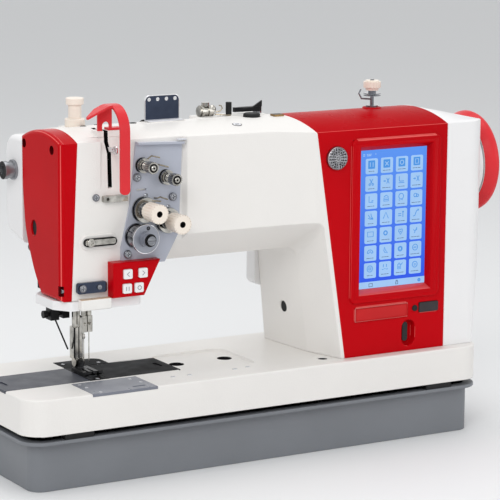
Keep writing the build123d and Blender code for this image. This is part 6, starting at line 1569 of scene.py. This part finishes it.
class MACHINE_OT_top_parts(PieceOperator, bpy.types.Operator):
    """Thread guide plate, bobbin winder, oil cap and oil cups on the arm's top"""

    bl_idname = "machine.top_parts"
    bl_label = "Winder and guides"
    nodes = (
        ("guide_plate", "dark_mirror", "fine_edge"),
        ("bobbin_winder", "chrome", "fine_edge"),
        ("winder_lever", "black_metal", "fine_edge"),
        ("winder_knob", "cream", "part_edge"),
    )
    repaints = (
        # Painted highlight: the guide plate's edges in bright chrome.
        ("guide_plate", "bright_edge", on_guide_edge),
        # Painted highlight: the guide plate's foot in pale paint.
        ("guide_plate", "bright_paint", on_guide_foot),
        ("bobbin_winder", "black_rubber", on_winder_tyre),
        ("bobbin_winder", "brass", on_cutter),
        ("bobbin_winder", "nickel", on_winder_tension),
        ("bobbin_winder", "black_metal", on_cutter_top),
    )

    def build(self):
        self.dress_nodes()
        self.build_plate_rim()
        self.build_guide_eyes()
        self.build_winder_details()
        self.build_front_cap()
        self.build_oil_cups()

    def build_guide_eyes(self):
        """Polished rim of each hole in the guide plate."""
        first_x = GUIDE_EYE_XS[0]
        place = (first_x, GUIDE_EYE_DEPTH, GUIDE_EYE_HEIGHT)
        first = hoop("guide_eye", place, BACKWARD, GUIDE_EYE_RADIUS, GUIDE_EYE_WIRE)
        shifts = [(x - first_x, 0.0, 0.0) for x in GUIDE_EYE_XS[1:]]
        settle(repeated(first, "guide_eyes", shifts), body_of("guide_plate"), "bright_edge", "chrome")

    def build_plate_rim(self):
        """Bright wire round the upright guide plate's edge, as a painted highlight."""
        left, right, low, top, depth = PLATE_RIM
        corner = PLATE_RIM_CORNER
        points = [(left, depth, low)]
        for across, up in circle_points(corner, left + corner, top - corner, 180.0, 90.0, 7):
            points.append((across, depth, up))
        for across, up in circle_points(corner, right - corner, top - corner, 90.0, 0.0, 7):
            points.append((across, depth, up))
        points.append((right, depth, low))
        rim = wire("guide_plate_rim", ((points, False),), PLATE_RIM_WIRE)
        settle(rim, body_of("guide_plate"), "bright_edge", "chrome")

    def build_winder_details(self):
        """Nickel ball and thread hooks of the bobbin winder's thread tension."""
        body = body_of("bobbin_winder")
        settle(turned("winder_ball", WINDER_BALL_AT, UP, WINDER_BALL, 24), body, "nickel", "chrome")
        hooks = wire("winder_hooks", [(run, False) for run in WINDER_HOOKS], WINDER_HOOK_WIRE)
        settle(hooks, body, "dull_brass", "chrome")

    def build_front_cap(self):
        """Slotted oil cap on the arm's front slope."""
        body = body_of("arm")
        cap = turned("front_cap", FRONT_CAP_AT, FRONT_CAP_UP, FRONT_CAP)
        settle(cap, body, "bright_paint", "white_enamel")
        ring = hoop(
            "front_cap_ring", FRONT_CAP_AT, FRONT_CAP_UP, FRONT_CAP_RING_RADIUS, FRONT_CAP_RING_WIRE
        )
        settle(ring, body, "black_metal", "black_metal")
        # Painted shade: a black block where the cap's slot is.
        low, high = (moved(FRONT_CAP_AT, corner) for corner in FRONT_CAP_SLOT_SHADE)
        settle(block("front_cap_slot", low, high, "Z", 0.5, 0.1), body, "black_metal", "black_metal")

    def build_oil_cups(self):
        """Dark oil cups let into the top, each lying on the surface under it."""
        cups = []
        arm = bpy.data.objects["arm_finished"]
        for x, y, radius in OIL_CUPS:
            found, place, normal, index = arm.ray_cast(at(x, y, CUP_SEARCH_HEIGHT), -UP)
            if not found:
                raise RuntimeError("no surface under an oil cup")
            height = (place.z - BED_TOP) / MILLIMETRE - CUP_SINK
            profile = [(radius - inset, rise) for inset, rise in CUP_STEPS]
            cups.append(turned("oil_cup", (x, y, height), tuple(normal), profile, 24))
        settle(joined(cups, "oil_cups"), body_of("arm"), "black_metal", "black_metal")


class MACHINE_OT_screen(PieceOperator, bpy.types.Operator):
    """Lit screen with its sloped frame and its grid of tiles, signs and dashes"""

    bl_idname = "machine.screen"
    bl_label = "Screen"
    nodes = (("display", "screen", "no_edge"),)

    def build(self):
        self.dress_nodes()
        low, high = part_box("display")
        self.left = low.x / MILLIMETRE
        self.right = high.x / MILLIMETRE
        self.low = (low.z - BED_TOP) / MILLIMETRE
        self.top = (high.z - BED_TOP) / MILLIMETRE
        self.front = low.y / MILLIMETRE
        self.body = body_of("display")
        self.build_frame()
        self.build_tiles()
        self.build_signs()
        self.build_bars()

    def build_frame(self):
        """Red frame that slopes from the housing's front to the glass."""
        rim = framed("screen_frame", SCREEN_FRAME, sizes().frame_edge)
        settle(rim, self.body, "red_gloss", "red_gloss")
        # The frame's lower slope takes a lighter pink red as a painted reflection.
        repaint(rim, "red_sill", on_sill)

    def tile_centre(self, column, row):
        values = sizes()
        across = values.tile_margin + column * values.tile_across + values.tile_width / 2.0
        down = values.tile_head + row * values.tile_down + values.tile_height / 2.0
        return self.left + across / MILLIMETRE, self.top - down / MILLIMETRE

    def strokes(self, name, runs, radius, finish_name):
        settle(wire(name, runs, radius, 1), self.body, finish_name, "screen")

    def build_tiles(self):
        half_width = sizes().tile_width / MILLIMETRE / 2.0
        half_height = sizes().tile_height / MILLIMETRE / 2.0
        x, z = self.tile_centre(0, 0)
        low = (x - half_width, self.front - TILE_LIFT, z - half_height)
        high = (x + half_width, self.front + TILE_SINK, z + half_height)
        shifts = []
        for row, names in enumerate(TILE_SIGNS):
            for column in range(len(names)):
                new_x, new_z = self.tile_centre(column, row)
                shifts.append((new_x - x, 0.0, new_z - z))
        tiles = repeated(block("screen_tile", low, high, "Y", TILE_CORNER), "screen_tiles", shifts[1:])
        settle(tiles, self.body, "screen_tile", "screen")

    def build_signs(self):
        """Signs and dashes on the tiles, those of the first row on a darker field."""
        signs, dashes, fields, inner = [], [], [], []
        depth = self.front - TILE_LIFT
        for row, names in enumerate(TILE_SIGNS):
            for column, name in enumerate(names):
                x, z = self.tile_centre(column, row)
                if name in FIELD_SIGNS:
                    fields.append((x, z))
                    inner.extend(placed(SIGNS[name], x, depth - INNER_LIFT, z + SIGN_RISE, SIGN_SCALE))
                else:
                    signs.extend(placed(SIGNS[name], x, depth, z + SIGN_RISE, SIGN_SCALE))
                dashes.extend(self.caption(x, z - CAPTION_DROP, depth, row * len(names) + column))
        self.strokes("screen_signs", signs, sizes().sign_stroke, "screen_sign")
        self.strokes("screen_dashes", dashes, CAPTION_WIRE, "screen_caption")
        self.strokes("screen_inner_signs", inner, sizes().sign_stroke, "screen_tile")
        x, z = fields[0]
        low = (x + FIELD_LOW[0], depth - TILE_LIFT, z + FIELD_LOW[1])
        high = (x + FIELD_HIGH[0], depth + TILE_SINK, z + FIELD_HIGH[1])
        shifts = [(new_x - x, 0.0, new_z - z) for new_x, new_z in fields[1:]]
        darker = repeated(block("screen_field", low, high, "Y", FIELD_CORNER), "screen_fields", shifts)
        settle(darker, self.body, "screen_sign", "screen")

    def caption(self, x, z, depth, index):
        """Short dashes in a row, their lengths changing from tile to tile."""
        runs = []
        lengths = [base + index % cycle * step for base, cycle, step in CAPTION_DASHES]
        start = x - (sum(lengths) + 2.0 * CAPTION_GAP) / 2.0
        for length in lengths:
            runs.append(dash(start, length, depth, z))
            start += length + CAPTION_GAP
        return runs

    def build_bars(self):
        """Bar at the foot with its signs, and the small marks at the top."""
        low = (self.left + FOOT_MARGIN, self.front - TILE_LIFT, self.low + FOOT_MARGIN)
        high = (self.right - FOOT_MARGIN, self.front + TILE_SINK, self.low + FOOT_TOP)
        foot = block("screen_foot", low, high, "Y", FOOT_MARGIN)
        settle(foot, self.body, "screen_tile", "screen")
        depth, middle = self.front - TILE_LIFT, self.low + FOOT_MIDDLE
        self.strokes("foot_signs", placed(FOOT_SIGNS, self.left, depth, middle), FOOT_WIRE, "screen_caption")
        self.strokes("foot_dot", placed(FOOT_DOT, self.left, depth, middle), DOT_WIRE, "screen_sign")
        status = [
            dash(self.left + start, length, self.front, self.top - drop)
            for start, length, drop in STATUS_DASHES
        ]
        self.strokes("status_marks", status, STATUS_WIRE, "screen_tile")


class MACHINE_OT_stage(PieceOperator, bpy.types.Operator):
    """Pale floor, soft studio light and the camera"""

    bl_idname = "machine.stage"
    bl_label = "Stage"

    def build(self):
        build_floor()
        build_world()
        build_lamps()
        build_camera()


# Stage


def build_floor():
    size = stage_settings().floor_size
    clear_selection()
    bpy.ops.mesh.primitive_plane_add(size=size, location=(FLOOR_X, 0.0, CAD_BOX[0][2]))
    floor = bpy.context.active_object
    floor.name = "floor"
    bpy.ops.object.transform_apply(location=True, rotation=True, scale=True)
    material, tree, shader = new_material("pale_floor")
    shader.inputs["Base Color"].default_value = FLOOR_TONE
    shader.inputs["Roughness"].default_value = FLOOR_ROUGHNESS
    floor.data.materials.append(material)


def build_world():
    world = bpy.data.worlds.new("studio")
    bpy.context.scene.world = world
    world.use_nodes = True
    tree = world.node_tree
    tree.nodes.clear()
    output = add_node(tree, "ShaderNodeOutputWorld", (600, 0))
    mix = add_node(tree, "ShaderNodeMixShader", (350, 0))
    light = add_node(tree, "ShaderNodeBackground", (50, 100))
    light.inputs["Color"].default_value = WORLD_TINT
    light.inputs["Strength"].default_value = stage_settings().world_light
    seen = add_node(tree, "ShaderNodeBackground", (50, -100))
    seen.inputs["Color"].default_value = (1.0, 1.0, 1.0, 1.0)
    seen.inputs["Strength"].default_value = 1.0
    path = add_node(tree, "ShaderNodeLightPath", (-500, 200))
    camera, glossy = path.outputs["Is Camera Ray"], path.outputs["Is Glossy Ray"]
    direct = math_node(tree, "MAXIMUM", camera, glossy, (-250, 200))
    either = math_node(tree, "MAXIMUM", direct, path.outputs["Is Transmission Ray"], (-50, 300))
    tree.links.new(either, mix.inputs["Fac"])
    tree.links.new(light.outputs["Background"], mix.inputs[1])
    tree.links.new(seen.outputs["Background"], mix.inputs[2])
    tree.links.new(mix.outputs["Shader"], output.inputs["Surface"])


def build_lamps():
    for name, place, aim, size, power in LAMPS:
        clear_selection()
        bpy.ops.object.light_add(type="AREA", location=place)
        lamp = bpy.context.active_object
        lamp.name = name
        lamp.data.shape = "SQUARE"
        lamp.data.size = size
        lamp.data.energy = power
        direction = Vector(aim) - Vector(place)
        lamp.rotation_euler = direction.to_track_quat("-Z", "Y").to_euler()


def build_camera():
    settings = stage_settings()
    azimuth, elevation, roll = settings.azimuth, settings.elevation, settings.roll
    back = Vector(
        (
            math.sin(azimuth) * math.cos(elevation),
            -math.cos(azimuth) * math.cos(elevation),
            math.sin(elevation),
        )
    )
    right = Vector((math.cos(azimuth), math.sin(azimuth), 0.0))
    up = back.cross(right)
    turned_right = right * math.cos(roll) + up * math.sin(roll)
    turned_up = up * math.cos(roll) - right * math.sin(roll)
    clear_selection()
    bpy.ops.object.camera_add()
    camera = bpy.context.active_object
    camera.name = "photo_camera"
    place = Vector((settings.camera_x, settings.camera_y, settings.camera_rise + BED_TOP))
    axes = Matrix((turned_right, turned_up, back)).transposed().to_4x4()
    camera.matrix_world = Matrix.Translation(place) @ axes
    camera.data.sensor_width = SENSOR_WIDTH
    camera.data.lens = FOCAL_PIXELS / IMAGE_WIDTH * SENSOR_WIDTH
    camera.data.clip_end = CLIP_END
    camera.data.dof.use_dof = False
    bpy.context.scene.camera = camera
    bpy.context.scene.view_settings.view_transform = "Standard"


PIECE_OPERATORS = (
    MACHINE_OT_finishes,
    MACHINE_OT_base,
    MACHINE_OT_castings,
    MACHINE_OT_covers,
    MACHINE_OT_bed_plates,
    MACHINE_OT_nose,
    MACHINE_OT_tensions,
    MACHINE_OT_take_up,
    MACHINE_OT_keys,
    MACHINE_OT_needles,
    MACHINE_OT_drive,
    MACHINE_OT_top_parts,
    MACHINE_OT_screen,
    MACHINE_OT_stage,
)


class MACHINE_PT_panel(bpy.types.Panel):
    """Lists the pieces and the values that shape them"""

    bl_idname = "MACHINE_PT_panel"
    bl_label = "Lockstitch machine"
    bl_space_type = "VIEW_3D"
    bl_region_type = "UI"
    bl_category = "Machine"

    def draw(self, context):
        for operator in PIECE_OPERATORS:
            self.layout.operator(operator.bl_idname)
        for group in (colours(), sizes(), stage_settings()):
            box = self.layout.box()
            for name in group.__annotations__:
                box.prop(group, name)


CLASSES = (MachineColours, MachineSizes, MachineStage) + PIECE_OPERATORS + (MACHINE_PT_panel,)


def register():
    for item in CLASSES:
        bpy.utils.register_class(item)
    bpy.types.Scene.machine_colours = bpy.props.PointerProperty(type=MachineColours)
    bpy.types.Scene.machine_sizes = bpy.props.PointerProperty(type=MachineSizes)
    bpy.types.Scene.machine_stage = bpy.props.PointerProperty(type=MachineStage)


def unregister():
    del bpy.types.Scene.machine_stage
    del bpy.types.Scene.machine_sizes
    del bpy.types.Scene.machine_colours
    for item in reversed(CLASSES):
        bpy.utils.unregister_class(item)


def main():
    register()
    for operator in PIECE_OPERATORS:
        family, action = operator.bl_idname.split(".")
        getattr(getattr(bpy.ops, family), action)()


if __name__ == "__main__":
    main()
